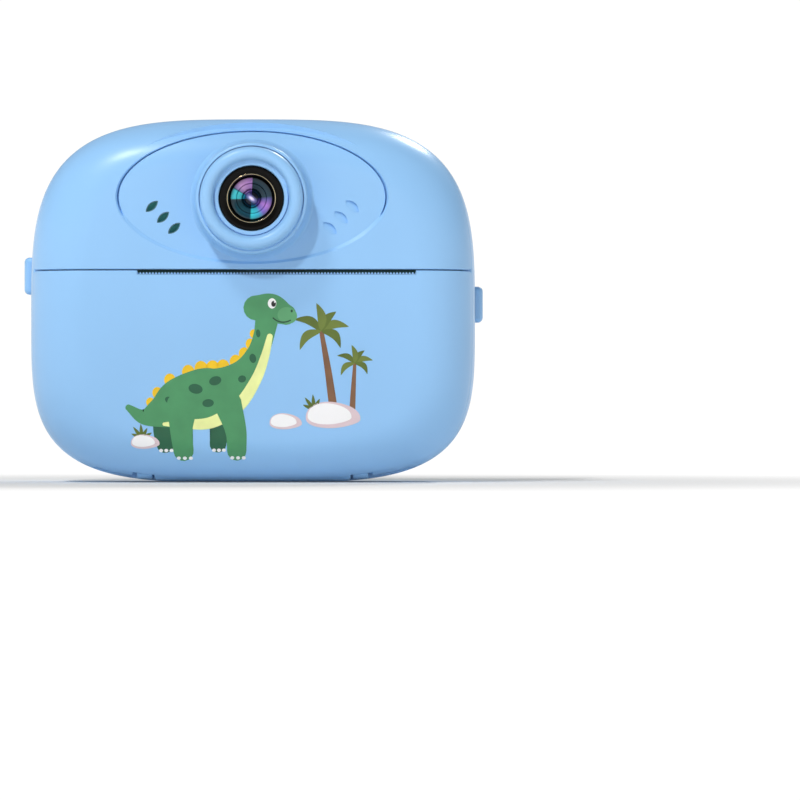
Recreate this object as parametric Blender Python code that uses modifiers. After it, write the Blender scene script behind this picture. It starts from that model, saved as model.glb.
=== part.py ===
"""Instant-print camera for children, as an assembly of separate solids.

The camera stands on its foot at z = 0, looks towards -Y and has +Z up. The origin is the
bottom centre of its bounding box. All lengths in this file are millimetres; the mesh
builders turn them into Blender's metres.
"""

import math

import bmesh
import bpy
from mathutils import Matrix, Vector

MM = 0.001
GAP = 0.3
WALL = 2.0
LONG = 200.0
CUT_Y = (20.0, 30.0)

# Case form: superellipse outlines whose edges roll over towards the front and the back.
HALF_WIDTH = 50.0
WIDEST_Z = 36.3
RISE = 45.3
DROP = 36.6
UPPER_POWER = 3.5
LOWER_POWER = 4.0
RING_POINTS = 40
FRONT_Y = -18.5
FRONT_ROLL = 13.0
FRONT_INSET_X = 13.0
FRONT_INSET_Z = 10.0
REAR_Y = 27.5
REAR_ROLL = 12.0
REAR_INSET = 4.5
ROLL_STEPS = 4
SEAM_Y = -8.0
PARTING_Z = 47.4
HALF_SEAM = 0.15

# Paper door hinge along the bottom edge.
HINGE_Y = -9.0
HINGE_Z = 2.9
BARREL_RADIUS = 2.6
BARREL_HALF = 22.0
LUG_WIDTH = 4.0
PIN_RADIUS = 1.0
HINGE_NOTCH_HALF = 37.0
HINGE_NOTCH_Y = -6.0

# Lens stack, on an axis along Y.
LENS_Z = 63.1
LENS_HOLE_RADIUS = 8.2
LEAF_LENGTH = 3.4
LEAF_WIDTH = 1.5
LEAF_TURN = math.radians(42.0)
LEAF_CUT_FRONT = -22.0
BARREL_BASE_RADIUS = 15.6
BARREL_RIM_RADIUS = 12.4
BARREL_BORE = 7.4
GLASS_RADIUS = 4.75

# Printer: platen roller on the door, print head, gears and motor in the case.
PAPER_X = 5.5
PAPER_WIDTH = 57.0
SLOT_WIDTH = 62.3
PLATEN_Y = -10.0
PLATEN_Z = 41.0
PLATEN_RADIUS = 4.0
SHAFT_RADIUS = 1.2
GEAR_MODULE = 0.6
PLATEN_TEETH = 18
IDLER_TEETH = 24
PINION_TEETH = 12
GEAR_X = (-29.2, -26.8)
PINION_DIRECTION = math.radians(-70.0)
MOTOR_RADIUS = 7.5
MOTOR_SHAFT_RADIUS = 0.75
ROLL_RADIUS = 14.0
ROLL_Y = -1.6
ROLL_Z = 22.0
CORE_RADIUS = 4.3

# Screen, buttons and boards, as a stack towards the back.
SCREEN_X = 8.4
SCREEN_Z = 38.0
SCREEN_WIDTH = 60.96
SCREEN_HEIGHT = 45.72
PANEL_BACK_Y = 26.4
PANEL_THICKNESS = 1.2
PANEL_HALF_WIDTH = 41.4
PANEL_LOW_Z = 11.6
PANEL_HIGH_Z = 64.3
PANEL_POWER = 11.0
FRAME_Y = (14.3, 15.5)
BOARD_Y = (20.0, 21.2)
BUTTON_TOP_Y = 27.4
LARGE_BUTTON = (9.3, 11.8)
SMALL_BUTTON = (6.8, 7.9)
SELFIE_Z = 68.6
SELFIE_HOLE_RADIUS = 2.7
MIC = (-19.2, 62.9)
FLANGE_MARGIN = 0.9
KEY_FOOT_Y = 23.0
KEY_GROUP = (-32.65, 37.75)
KEY_SPACING = (4.15, 4.65)
KEY_LEAN = math.radians(38.0)

# Side fittings. Openings in the side walls are cut from OUTSIDE_X inwards.
OUTSIDE_X = 60.0
TAB_REACH = 51.8
LATCH_Z = (35.8, 43.9)
LUG_Z = (42.1, 50.5)
TAB_Y = (-2.0, 8.0)
LUG_Y = (0.0, 6.0)
PORT_Y = 18.5
CARD_Z = 49.6
USB_Z = 33.75
RESET_Z = 42.2
NOTCH_Z = 17.4
UPPER_SCREW = (30.0, 67.0)
LOWER_SCREW = (40.5, 14.0)

COLOURS = {
    "case_blue": ((0.305, 0.578, 0.930), 0.35, 0.0),
    "button_blue": ((0.33, 0.60, 0.93), 0.45, 0.0),
    "navy_panel": ((0.017, 0.030, 0.045), 0.12, 0.0),
    "screen_glass": ((0.02, 0.38, 0.52), 0.08, 0.0),
    "black_plastic": ((0.012, 0.012, 0.014), 0.4, 0.0),
    "grey_plastic": ((0.20, 0.21, 0.23), 0.5, 0.0),
    "white_plastic": ((0.75, 0.76, 0.78), 0.5, 0.0),
    "gold": ((0.70, 0.52, 0.26), 0.3, 1.0),
    "coated_glass": ((0.05, 0.04, 0.12), 0.04, 0.0),
    "green_mesh": ((0.02, 0.14, 0.12), 0.8, 0.0),
    "steel": ((0.62, 0.62, 0.64), 0.3, 1.0),
    "brass": ((0.72, 0.55, 0.25), 0.35, 1.0),
    "rubber": ((0.03, 0.03, 0.03), 0.9, 0.0),
    "paper": ((0.88, 0.88, 0.86), 0.9, 0.0),
    "cardboard": ((0.45, 0.33, 0.20), 0.9, 0.0),
    "board_green": ((0.02, 0.16, 0.07), 0.5, 0.0),
    "ceramic": ((0.80, 0.78, 0.72), 0.3, 0.0),
    "cell_silver": ((0.55, 0.56, 0.60), 0.35, 0.6),
    "flex_amber": ((0.55, 0.25, 0.05), 0.4, 0.0),
}


# ---------------------------------------------------------------- scene and materials


def clear_scene():
    for obj in list(bpy.data.objects):
        bpy.data.objects.remove(obj)


def new_collection(name):
    made = bpy.data.collections.new(name)
    bpy.context.scene.collection.children.link(made)
    return made


def material(name):
    """The named Principled material, made on first use."""
    found = bpy.data.materials.get(name)
    if found:
        return found
    colour, roughness, metallic = COLOURS[name]
    made = bpy.data.materials.new(name)
    made.use_nodes = True
    shader = made.node_tree.nodes["Principled BSDF"]
    shader.inputs["Base Color"].default_value = (*colour, 1.0)
    shader.inputs["Roughness"].default_value = roughness
    shader.inputs["Metallic"].default_value = metallic
    return made


# ---------------------------------------------------------------- mesh builders


def place(name, mesh, finish):
    """A visible part when it has a finish, otherwise a hidden cutter or helper."""
    obj = bpy.data.objects.new(name, mesh)
    if finish:
        parts.objects.link(obj)
        mesh.materials.append(material(finish))
    else:
        helpers.objects.link(obj)
        obj.hide_render = True
        obj.display_type = "WIRE"
    return obj


def from_bmesh(name, shape, finish):
    bmesh.ops.recalc_face_normals(shape, faces=shape.faces)
    bmesh.ops.scale(shape, vec=Vector((MM, MM, MM)), verts=shape.verts)
    mesh = bpy.data.meshes.new(name)
    shape.to_mesh(mesh)
    shape.free()
    return place(name, mesh, finish)


def box(name, x, y, z, finish=None):
    """A block between the pairs of limits x, y and z."""
    shape = bmesh.new()
    bmesh.ops.create_cube(shape, size=1.0)
    size = Vector((x[1] - x[0], y[1] - y[0], z[1] - z[0]))
    middle = Vector((sum(x), sum(y), sum(z))) / 2
    bmesh.ops.scale(shape, vec=size, verts=shape.verts)
    bmesh.ops.translate(shape, vec=middle, verts=shape.verts)
    return from_bmesh(name, shape, finish)


def rod(name, start, end, radius, finish=None, sides=20):
    """A round bar from start to end."""
    start = Vector(start)
    end = Vector(end)
    shape = bmesh.new()
    bmesh.ops.create_cone(
        shape,
        cap_ends=True,
        segments=sides,
        radius1=radius,
        radius2=radius,
        depth=(end - start).length,
    )
    turn = Vector((0, 0, 1)).rotation_difference(end - start).to_matrix().to_4x4()
    placed = Matrix.Translation((start + end) / 2) @ turn
    bmesh.ops.transform(shape, matrix=placed, verts=shape.verts)
    return smooth(from_bmesh(name, shape, finish))


def smooth(obj, angle=math.radians(40.0)):
    obj.data.shade_smooth()
    obj.data.set_sharp_from_angle(angle=angle)
    return obj


def turned(name, profile, axis_point, facing, finish=None, steps=24):
    """A body turned round facing: profile is a closed loop of (radius, height) that runs
    down its outer side."""
    mesh = bpy.data.meshes.new(name)
    points = [(radius * MM, 0.0, height * MM) for radius, height in profile]
    edges = [(i, (i + 1) % len(points)) for i in range(len(points))]
    mesh.from_pydata(points, edges, [])
    obj = place(name, mesh, finish)
    obj.location = Vector(axis_point) * MM
    obj.rotation_mode = "QUATERNION"
    obj.rotation_quaternion = Vector((0, 0, 1)).rotation_difference(Vector(facing))
    screw = obj.modifiers.new("turn", "SCREW")
    screw.axis = "Z"
    screw.steps = steps
    screw.render_steps = steps
    screw.use_merge_vertices = True
    screw.merge_threshold = 0.00001
    screw.use_smooth_shade = True
    return obj


def flat_piece(name, outline, y, finish=None):
    """A plate with the given closed (x, z) outline, between the two depths in y."""
    curve = bpy.data.curves.new(name, "CURVE")
    curve.dimensions = "2D"
    curve.fill_mode = "BOTH"
    curve.extrude = (y[1] - y[0]) / 2 * MM
    spline = curve.splines.new("POLY")
    spline.points.add(len(outline) - 1)
    for point, (x, z) in zip(spline.points, outline):
        point.co = (x * MM, z * MM, 0.0, 1.0)
    spline.use_cyclic_u = True
    drawn = bpy.data.objects.new(name + "_outline", curve)
    helpers.objects.link(drawn)
    bpy.context.view_layer.update()
    graph = bpy.context.evaluated_depsgraph_get()
    mesh = bpy.data.meshes.new_from_object(drawn.evaluated_get(graph))
    bpy.data.objects.remove(drawn)
    upright = Matrix.Rotation(math.radians(90.0), 4, "X")
    mesh.transform(Matrix.Translation((0.0, sum(y) / 2 * MM, 0.0)) @ upright)
    mesh.name = name
    shape = bmesh.new()
    shape.from_mesh(mesh)
    bmesh.ops.remove_doubles(shape, verts=shape.verts, dist=0.000001)
    bmesh.ops.recalc_face_normals(shape, faces=shape.faces)
    shape.to_mesh(mesh)
    shape.free()
    mesh.materials.clear()
    return place(name, mesh, finish)


def loft(name, rings, finish=None):
    """A closed skin over rings of points, with a flat face on the first and last ring."""
    shape = bmesh.new()
    made = [[shape.verts.new(point) for point in ring] for ring in rings]
    for near, far in zip(made, made[1:]):
        for i in range(len(near)):
            after = (i + 1) % len(near)
            shape.faces.new((near[i], near[after], far[after], far[i]))
    shape.faces.new(made[0])
    shape.faces.new(made[-1])
    bmesh.ops.remove_doubles(shape, verts=shape.verts, dist=0.0001)
    return from_bmesh(name, shape, finish)


def wire(name, points, radius, finish):
    """A round wire through the points, as a curve with filled caps."""
    curve = bpy.data.curves.new(name, "CURVE")
    curve.dimensions = "3D"
    curve.bevel_depth = radius * MM
    curve.bevel_resolution = 1
    curve.use_fill_caps = True
    spline = curve.splines.new("POLY")
    spline.points.add(len(points) - 1)
    for point, (x, y, z) in zip(spline.points, points):
        point.co = (x * MM, y * MM, z * MM, 1.0)
    obj = bpy.data.objects.new(name, curve)
    parts.objects.link(obj)
    curve.materials.append(material(finish))
    return obj


def combine(obj, other, operation):
    change = obj.modifiers.new(other.name, "BOOLEAN")
    change.operation = operation
    change.solver = "EXACT"
    change.object = other
    return obj


def cut(obj, *others):
    for other in others:
        combine(obj, other, "DIFFERENCE")
    return obj


def join(obj, *others):
    for other in others:
        combine(obj, other, "UNION")
    return obj


def carry(name, point, pieces, parent=None):
    """An empty on a joint's axis that the moving pieces hang from."""
    pivot = bpy.data.objects.new(name, None)
    parts.objects.link(pivot)
    pivot.location = Vector(point) * MM
    if parent:
        pivot.parent = parent
        pivot.matrix_parent_inverse = Matrix.Translation(-parent.location)
    inverse = Matrix.Translation(Vector(point) * -MM)
    for piece in pieces:
        piece.parent = pivot
        piece.matrix_parent_inverse = inverse
    return pivot


# ---------------------------------------------------------------- outlines


def signed_power(value, power):
    return math.copysign(abs(value) ** power, value)


def superellipse(half, up, down, middle_z, upper_power, lower_power, count):
    """Closed (x, z) outline with its own height and power above and below middle_z."""
    outline = []
    for step in range(count):
        angle = 2 * math.pi * (step + 0.5) / count
        above = math.sin(angle) > 0
        power = 2 / (upper_power if above else lower_power)
        height = up if above else down
        x = half * signed_power(math.cos(angle), power)
        z = middle_z + height * signed_power(math.sin(angle), power)
        outline.append((x, z))
    return outline


def ellipse(middle, width, height, turn=0.0, count=16):
    outline = []
    for step in range(count):
        angle = 2 * math.pi * step / count
        u = width / 2 * math.cos(angle)
        v = height / 2 * math.sin(angle)
        x = middle[0] + u * math.cos(turn) - v * math.sin(turn)
        z = middle[1] + u * math.sin(turn) + v * math.cos(turn)
        outline.append((x, z))
    return outline


def leaf(middle, length, width, turn, count=6):
    """Two arcs that meet in a point at each end."""
    outline = []
    for side in (1, -1):
        for step in range(count):
            share = step / count
            u = side * length * (0.5 - share)
            v = side * width / 2 * math.sin(math.pi * share)
            x = middle[0] + u * math.cos(turn) - v * math.sin(turn)
            z = middle[1] + u * math.sin(turn) + v * math.cos(turn)
            outline.append((x, z))
    return outline


def case_ring(y, inset_x, inset_z, thickness):
    """Points round the case at depth y, inset by the edge roll and moved in by thickness."""
    outline = superellipse(
        HALF_WIDTH - inset_x - thickness,
        RISE - inset_z - thickness,
        DROP - inset_z - thickness,
        WIDEST_Z,
        UPPER_POWER,
        LOWER_POWER,
        RING_POINTS,
    )
    return [(x, y, max(z, thickness)) for x, z in outline]


def front_ring(share, thickness):
    """Ring on the front roll: share 0 is the full outline, 1 the edge of the front face."""
    angle = share * math.pi / 2
    roll = FRONT_ROLL - thickness
    y = FRONT_Y + FRONT_ROLL - roll * math.sin(angle)
    shrink = 1 - math.cos(angle)
    inset_x = (FRONT_INSET_X - thickness) * shrink
    inset_z = (FRONT_INSET_Z - thickness) * shrink
    return case_ring(y, inset_x, inset_z, thickness)


def rear_ring(share, thickness):
    angle = share * math.pi / 2
    y = REAR_Y - REAR_ROLL + (REAR_ROLL - thickness) * math.sin(angle)
    inset = REAR_INSET * (1 - math.cos(angle))
    return case_ring(y, inset, inset, thickness)


def front_share(y, thickness):
    return math.asin((FRONT_Y + FRONT_ROLL - y) / (FRONT_ROLL - thickness)) / (math.pi / 2)


def front_form(name, back_y, thickness):
    """Solid of the front of the case as far back as back_y."""
    start = front_share(min(back_y, FRONT_Y + FRONT_ROLL), thickness)
    shares = [start + (1 - start) * i / ROLL_STEPS for i in range(ROLL_STEPS + 1)]
    rings = [front_ring(share, thickness) for share in shares]
    if back_y > FRONT_Y + FRONT_ROLL:
        rings.insert(0, case_ring(back_y, 0.0, 0.0, thickness))
    return loft(name, rings)


def rear_form(name, front_y, thickness, finish=None):
    """Solid of the back of the case from front_y on."""
    start = front_share(front_y, thickness)
    rings = [front_ring(start, thickness), front_ring(0.0, thickness)]
    rings += [rear_ring(i / ROLL_STEPS, thickness) for i in range(ROLL_STEPS + 1)]
    return loft(name, rings, finish)


# ---------------------------------------------------------------- case


def front_shell(name, finish):
    """Front half of the case as a shell, open at the back."""
    shell = front_form(name, SEAM_Y - HALF_SEAM, 0.0)
    helpers.objects.unlink(shell)
    shell.hide_render = False
    shell.display_type = "TEXTURED"
    parts.objects.link(shell)
    shell.data.materials.append(material(finish))
    return cut(shell, front_form(name + "_hollow", 0.0, WALL))


def slot_limits(extra=0.0):
    return (PAPER_X - SLOT_WIDTH / 2 - extra, PAPER_X + SLOT_WIDTH / 2 + extra)


def leaf_middles(side):
    """The three leaf marks on one side, going down towards the lens."""
    return [(side * (22.4 - 2.5 * i), 61.6 - 2.45 * i) for i in range(3)]


def make_front_cover():
    cover = front_shell("front_cover", "case_blue")
    below = box("below_parting", (-LONG, LONG), (-LONG, LONG), (-LONG, PARTING_Z + HALF_SEAM))
    lens_hole = rod("lens_hole", (0, -30, LENS_Z), (0, 0, LENS_Z), LENS_HOLE_RADIUS)
    cut(cover, below, lens_hole)
    for side, back_y, kind in ((-1, -10.0, "sound_hole"), (1, FRONT_Y + 0.6, "leaf_dimple")):
        for i, middle in enumerate(leaf_middles(side)):
            outline = leaf(middle, LEAF_LENGTH, LEAF_WIDTH, LEAF_TURN)
            cut(cover, flat_piece(f"{kind}_{i}", outline, (LEAF_CUT_FRONT, back_y)))


def make_paper_door():
    door = front_shell("paper_door", "case_blue")
    above = box("above_parting", (-LONG, LONG), (-LONG, LONG), (PARTING_Z - HALF_SEAM, LONG))
    exit_notch = box("exit_notch", slot_limits(GAP), (-30.0, -13.0), (PARTING_Z - 1.3, LONG))
    cut(door, above, exit_notch)
    for side in (-1, 1):
        reach = sorted((side * BARREL_HALF, side * (BARREL_HALF + LUG_WIDTH + 1.0)))
        cut(door, box(f"lug_notch_{side}", reach, (-13.0, 0.0), (-5.0, 8.0)))
    barrel = rod(
        "door_barrel",
        (-BARREL_HALF, HINGE_Y, HINGE_Z),
        (BARREL_HALF, HINGE_Y, HINGE_Z),
        BARREL_RADIUS,
    )
    join(door, barrel)
    cut(door, hinge_bore("door_bore", PIN_RADIUS + GAP))
    return door


def hinge_bore(name, radius):
    return rod(name, (-60.0, HINGE_Y, HINGE_Z), (60.0, HINGE_Y, HINGE_Z), radius)


def make_hinge_pin():
    half = BARREL_HALF + LUG_WIDTH - 0.5
    start = (-half, HINGE_Y, HINGE_Z)
    return rod("hinge_pin", start, (half, HINGE_Y, HINGE_Z), PIN_RADIUS, "steel", 16)


def panel_outline(grow=0.0):
    half_height = (PANEL_HIGH_Z - PANEL_LOW_Z) / 2 + grow
    middle_z = (PANEL_HIGH_Z + PANEL_LOW_Z) / 2
    return superellipse(
        PANEL_HALF_WIDTH + grow,
        half_height,
        half_height,
        middle_z,
        PANEL_POWER,
        PANEL_POWER,
        36,
    )


def screw_places():
    """Middle (x, z) of each of the four case screws."""
    return [(side * x, z) for x, z in (UPPER_SCREW, LOWER_SCREW) for side in (-1, 1)]


def make_rear_shell():
    shell = rear_form("rear_shell", SEAM_Y + HALF_SEAM, 0.0, "case_blue")
    cut(shell, rear_form("rear_hollow", FRONT_Y + FRONT_ROLL - 4.5, WALL))
    cut(shell, flat_piece("panel_window", panel_outline(GAP), CUT_Y))
    low_y, high_y = CUT_Y
    cut(shell, rod("selfie_hole", (0, low_y, SELFIE_Z), (0, high_y, SELFIE_Z), SELFIE_HOLE_RADIUS))
    notch_y = (SEAM_Y - 5.0, HINGE_NOTCH_Y)
    notch_x = (-HINGE_NOTCH_HALF, HINGE_NOTCH_HALF)
    cut(shell, box("hinge_notch", notch_x, notch_y, (-5.0, HINGE_Z + 0.3)))
    for side in (-1, 1):
        join(shell, make_hinge_lug(side))
    cut(shell, hinge_bore("lug_bore", PIN_RADIUS + GAP))
    for i, (x, z) in enumerate(screw_places()):
        add_screw_boss(shell, i, x, z)
    make_side_openings(shell)


def add_screw_boss(shell, i, x, z):
    """Post with a blind bore. An upper one ends in the back wall, a lower one hangs on a rib
    from the side wall."""
    upper = z > WIDEST_Z
    start_y = 15.8
    end_y = 26.0 if upper else 21.1
    bore_end = end_y - (2.5 if upper else 1.0)
    join(shell, rod(f"boss_{i}", (x, start_y, z), (x, end_y, z), 2.6, sides=14))
    if not upper:
        ends = sorted((x + math.copysign(1.5, x), math.copysign(46.5, x)))
        join(shell, box(f"boss_rib_{i}", ends, (start_y + 0.2, end_y - 0.2), (z - 0.8, z + 0.8)))
    cut(shell, rod(f"boss_bore_{i}", (x, start_y - 0.8, z), (x, bore_end, z), 1.05, sides=10))


def make_hinge_lug(side):
    """Ear that reaches forward from the rear shell's bottom wall round the hinge pin."""
    inner = side * (BARREL_HALF + 0.5)
    outer = side * (BARREL_HALF + LUG_WIDTH)
    ear = rod(f"lug_{side}", (inner, HINGE_Y, HINGE_Z), (outer, HINGE_Y, HINGE_Z), 2.3)
    root_z = (HINGE_Z - 2.0, HINGE_Z + 2.2)
    root = box(f"lug_root_{side}", sorted((inner, outer)), (HINGE_Y, -3.0), root_z)
    return join(ear, root)


def make_side_openings(shell):
    right = (45.0, OUTSIDE_X)
    left = (-OUTSIDE_X, -44.0)
    latch_z = (LATCH_Z[0] - GAP, LATCH_Z[1] + GAP)
    tab_y = (TAB_Y[0] - GAP, TAB_Y[1] + GAP)
    cut(shell, box("latch_window", right, tab_y, latch_z))
    lug_z = (LUG_Z[0] - GAP, LUG_Z[1] + GAP)
    lug_y = (LUG_Y[0] - GAP, LUG_Y[1] + GAP)
    cut(shell, box("strap_window", (-OUTSIDE_X, -45.0), lug_y, lug_z))
    card_y = (PORT_Y - 0.8, PORT_Y + 0.8)
    cut(shell, box("card_window", left, card_y, (CARD_Z - 5.9, CARD_Z + 5.9)))
    usb_y = (PORT_Y - 1.9, PORT_Y + 1.9)
    cut(shell, box("usb_window", left, usb_y, (USB_Z - 4.8, USB_Z + 4.8)))
    for name, z, radius in (("reset_hole", RESET_Z, 0.5), ("notch_hole", NOTCH_Z, 0.6)):
        cut(shell, rod(name, (left[0], PORT_Y, z), (left[1], PORT_Y, z), radius, sides=12))


def make_mid_frame():
    """Plate across the case that the printer, the paper bay and the boards fasten to."""
    outline = superellipse(
        HALF_WIDTH - WALL - 1.0,
        RISE - WALL - 1.0,
        DROP - WALL - 1.0,
        WIDEST_Z,
        UPPER_POWER,
        LOWER_POWER,
        32,
    )
    frame = flat_piece("mid_frame", outline, FRAME_Y, "white_plastic")
    for i, (x, z) in enumerate(screw_places()):
        cut(frame, rod(f"frame_hole_{i}", (x, 10.0, z), (x, 20.0, z), 1.15, sides=10))
    cut(frame, box("cable_window", (-14.0, 14.0), (10.0, 20.0), (68.0, 73.0)))
    return frame


def make_case_screws():
    """Turned screws with a domed head, a straight shank and a socket in the head."""
    profile = (
        (0.55, 0.35),
        (0.55, 1.0),
        (1.2, 1.0),
        (1.8, 0.5),
        (1.8, 0.0),
        (0.75, 0.0),
        (0.75, -5.6),
        (0.0, -6.0),
        (0.0, 0.35),
    )
    head_y = FRAME_Y[0] - GAP
    for i, (x, z) in enumerate(screw_places()):
        turned(f"case_screw_{i + 1}", profile, (x, head_y, z), (0, -1, 0), "steel", 12)


# ---------------------------------------------------------------- lens


def make_lens_barrel():
    """Flared collar with a rounded rim, seated on the curved face of the front cover."""
    rim = [
        (8.4, 26.3),
        (8.9, 27.1),
        (9.7, 27.5),
        (10.8, 27.5),
        (11.8, 27.0),
        (BARREL_RIM_RADIUS, 26.0),
        (12.6, 24.0),
        (13.3, 21.5),
        (14.4, 19.6),
        (BARREL_BASE_RADIUS, 18.6),
        (BARREL_BASE_RADIUS, 12.0),
        (BARREL_BORE + 0.9, 12.0),
        (BARREL_BORE + 0.9, 18.2),
        (BARREL_BORE, 18.2),
        (BARREL_BORE, 25.2),
    ]
    barrel = turned("lens_barrel", rim, (0, 0, LENS_Z), (0, -1, 0), "case_blue", 32)
    return cut(barrel, front_form("barrel_seat", SEAM_Y, -GAP))


def make_lens_stack():
    bezel = [
        (5.15, 24.9),
        (6.2, 25.3),
        (7.1, 25.1),
        (7.1, 16.0),
        (4.0, 16.0),
        (4.0, 21.0),
        (5.15, 21.0),
    ]
    turned("lens_bezel", bezel, (0, 0, LENS_Z), (0, -1, 0), "black_plastic")
    trim = [(5.5, 25.75), (5.9, 25.75), (5.95, 25.5), (5.45, 25.3)]
    turned("lens_trim_ring", trim, (0, 0, LENS_Z), (0, -1, 0), "gold")
    dome = [(0.0, 24.6), (2.5, 24.3), (GLASS_RADIUS, 23.2), (GLASS_RADIUS, 21.4), (0.0, 21.4)]
    turned("front_lens", dome, (0, 0, LENS_Z), (0, -1, 0), "coated_glass")
    inner = [(0.0, 20.0), (2.4, 19.4), (3.4, 18.4), (3.4, 17.0), (0.0, 17.0)]
    turned("inner_lens", inner, (0, 0, LENS_Z), (0, -1, 0), "coated_glass")
    module_z = (LENS_Z - 5.0, LENS_Z + 5.0)
    board_z = (LENS_Z - 7.0, LENS_Z + 7.0)
    box("camera_module", (-5.0, 5.0), (-15.6, -11.0), module_z, "black_plastic")
    box("sensor_board", (-8.0, 8.0), (-10.6, -9.6), board_z, "board_green")


def make_speaker():
    middle_x = -20.8
    middle_z = 59.6
    mesh_front = (middle_x, -16.15, middle_z)
    mesh_back = (middle_x, -15.75, middle_z)
    rod("speaker_mesh", mesh_front, mesh_back, 7.6, "green_mesh")
    basket = [
        (0.0, 15.4),
        (5.6, 15.0),
        (6.4, 15.4),
        (7.8, 15.4),
        (7.8, 13.6),
        (5.6, 11.6),
        (0.0, 11.6),
    ]
    turned("speaker", basket, (middle_x, 0, middle_z), (0, -1, 0), "black_plastic")


# ---------------------------------------------------------------- printer


def make_tear_bar():
    """Serrated strip over the paper exit, with its teeth pointing down."""
    teeth = 40
    low, high = slot_limits()
    pitch = (high - low) / teeth
    outline = [(high, PARTING_Z - 0.1), (low, PARTING_Z - 0.1)]
    for tooth in range(teeth):
        outline.append((low + pitch * tooth, PARTING_Z - 0.5))
        outline.append((low + pitch * (tooth + 0.5), PARTING_Z - 1.0))
    outline.append((high, PARTING_Z - 0.5))
    flat_piece("tear_bar", outline, (-18.2, -17.0), "black_plastic")


def paper_limits(extra=0.0):
    return (PAPER_X - PAPER_WIDTH / 2 - extra, PAPER_X + PAPER_WIDTH / 2 + extra)


def make_print_head():
    """Thermal head on its heat sink, pushed towards the platen by two coil springs."""
    contact_y = PLATEN_Y + PLATEN_RADIUS + GAP
    low, high = paper_limits(-0.5)
    box("print_head", (low, high), (contact_y, contact_y + 1.2), (38.0, 46.0), "ceramic")
    sink_y = contact_y + 1.5
    box("head_heat_sink", (low, high), (sink_y, sink_y + 1.2), (37.6, 46.4), "steel")
    plate_y = 1.0
    outer = paper_limits(1.4)
    plate = (plate_y, plate_y + 1.2)
    bracket = box("print_head_bracket", outer, plate, (37.6, 46.8), "grey_plastic")
    for side, x in zip(("left", "right"), outer):
        inner = x + (1.2 if side == "left" else -1.2)
        arm_y = (plate_y, FRAME_Y[0] - GAP)
        join(bracket, box(f"bracket_arm_{side}", sorted((x, inner)), arm_y, (39.5, 45.5)))
    for side, x in (("left", PAPER_X - 20.0), ("right", PAPER_X + 20.0)):
        make_head_spring(f"head_spring_{side}", x, sink_y + 1.5, plate_y - GAP)


def make_head_spring(name, x, start_y, end_y):
    turns = 3
    steps = 8
    radius = 1.7
    wire_radius = 0.25
    points = []
    for step in range(turns * steps + 1):
        angle = 2 * math.pi * step / steps
        share = step / (turns * steps)
        y = start_y + wire_radius + share * (end_y - start_y - 2 * wire_radius)
        points.append((x + radius * math.cos(angle), y, 42.0 + radius * math.sin(angle)))
    wire(name, points, wire_radius, "steel")


def involute(angle):
    return math.tan(angle) - angle


def gear_outline(teeth, first_tooth, flank_points=3):
    """Closed outline of an involute gear round the origin, in its own plane."""
    pressure = math.radians(20.0)
    pitch_radius = GEAR_MODULE * teeth / 2
    base = pitch_radius * math.cos(pressure)
    tip = pitch_radius + 0.8 * GEAR_MODULE
    root = pitch_radius - 1.15 * GEAR_MODULE
    half_tooth = math.pi / (2 * teeth) * 0.86 + involute(pressure)
    lowest = max(root, base)
    flank = [root] if root < base else []
    flank += [lowest + (tip - lowest) * i / (flank_points - 1) for i in range(flank_points)]
    outline = []
    for tooth in range(teeth):
        middle = first_tooth + 2 * math.pi * tooth / teeth
        rising = []
        for radius in flank:
            ratio = min(base / radius, 1.0)
            rising.append((radius, half_tooth - involute(math.acos(ratio))))
        for radius, half in rising:
            outline.append((radius * math.cos(middle - half), radius * math.sin(middle - half)))
        for radius, half in reversed(rising):
            outline.append((radius * math.cos(middle + half), radius * math.sin(middle + half)))
    return outline


def make_gear(name, teeth, first_tooth, middle, finish, bore):
    """A gear on an axis along X. first_tooth is measured from +Y towards +Z."""
    outline = gear_outline(teeth, first_tooth)
    thickness = GEAR_X[1] - GEAR_X[0]
    gear = flat_piece(name, outline, (-thickness / 2, thickness / 2), finish)
    # The plate's x axis turns to +Y and its thickness axis to -X.
    turn = Matrix(((0, -1, 0, 0), (1, 0, 0, 0), (0, 0, 1, 0), (0, 0, 0, 1)))
    shift = Matrix.Translation(Vector((sum(GEAR_X) / 2, middle[0], middle[1])) * MM)
    gear.data.transform(shift @ turn)
    start = (GEAR_X[0] - 2.0, *middle)
    end = (GEAR_X[1] + 2.0, *middle)
    return cut(gear, rod(name + "_bore", start, end, bore, sides=16))


def gear_middles():
    """Centres (y, z) of the platen, idler and motor gears, at their working distances."""
    near = GEAR_MODULE * (PLATEN_TEETH + IDLER_TEETH) / 2
    far = GEAR_MODULE * (IDLER_TEETH + PINION_TEETH) / 2
    platen = (PLATEN_Y, PLATEN_Z)
    idler = (PLATEN_Y + near, PLATEN_Z)
    pinion = (
        idler[0] + far * math.cos(PINION_DIRECTION),
        idler[1] + far * math.sin(PINION_DIRECTION),
    )
    return platen, idler, pinion


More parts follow.
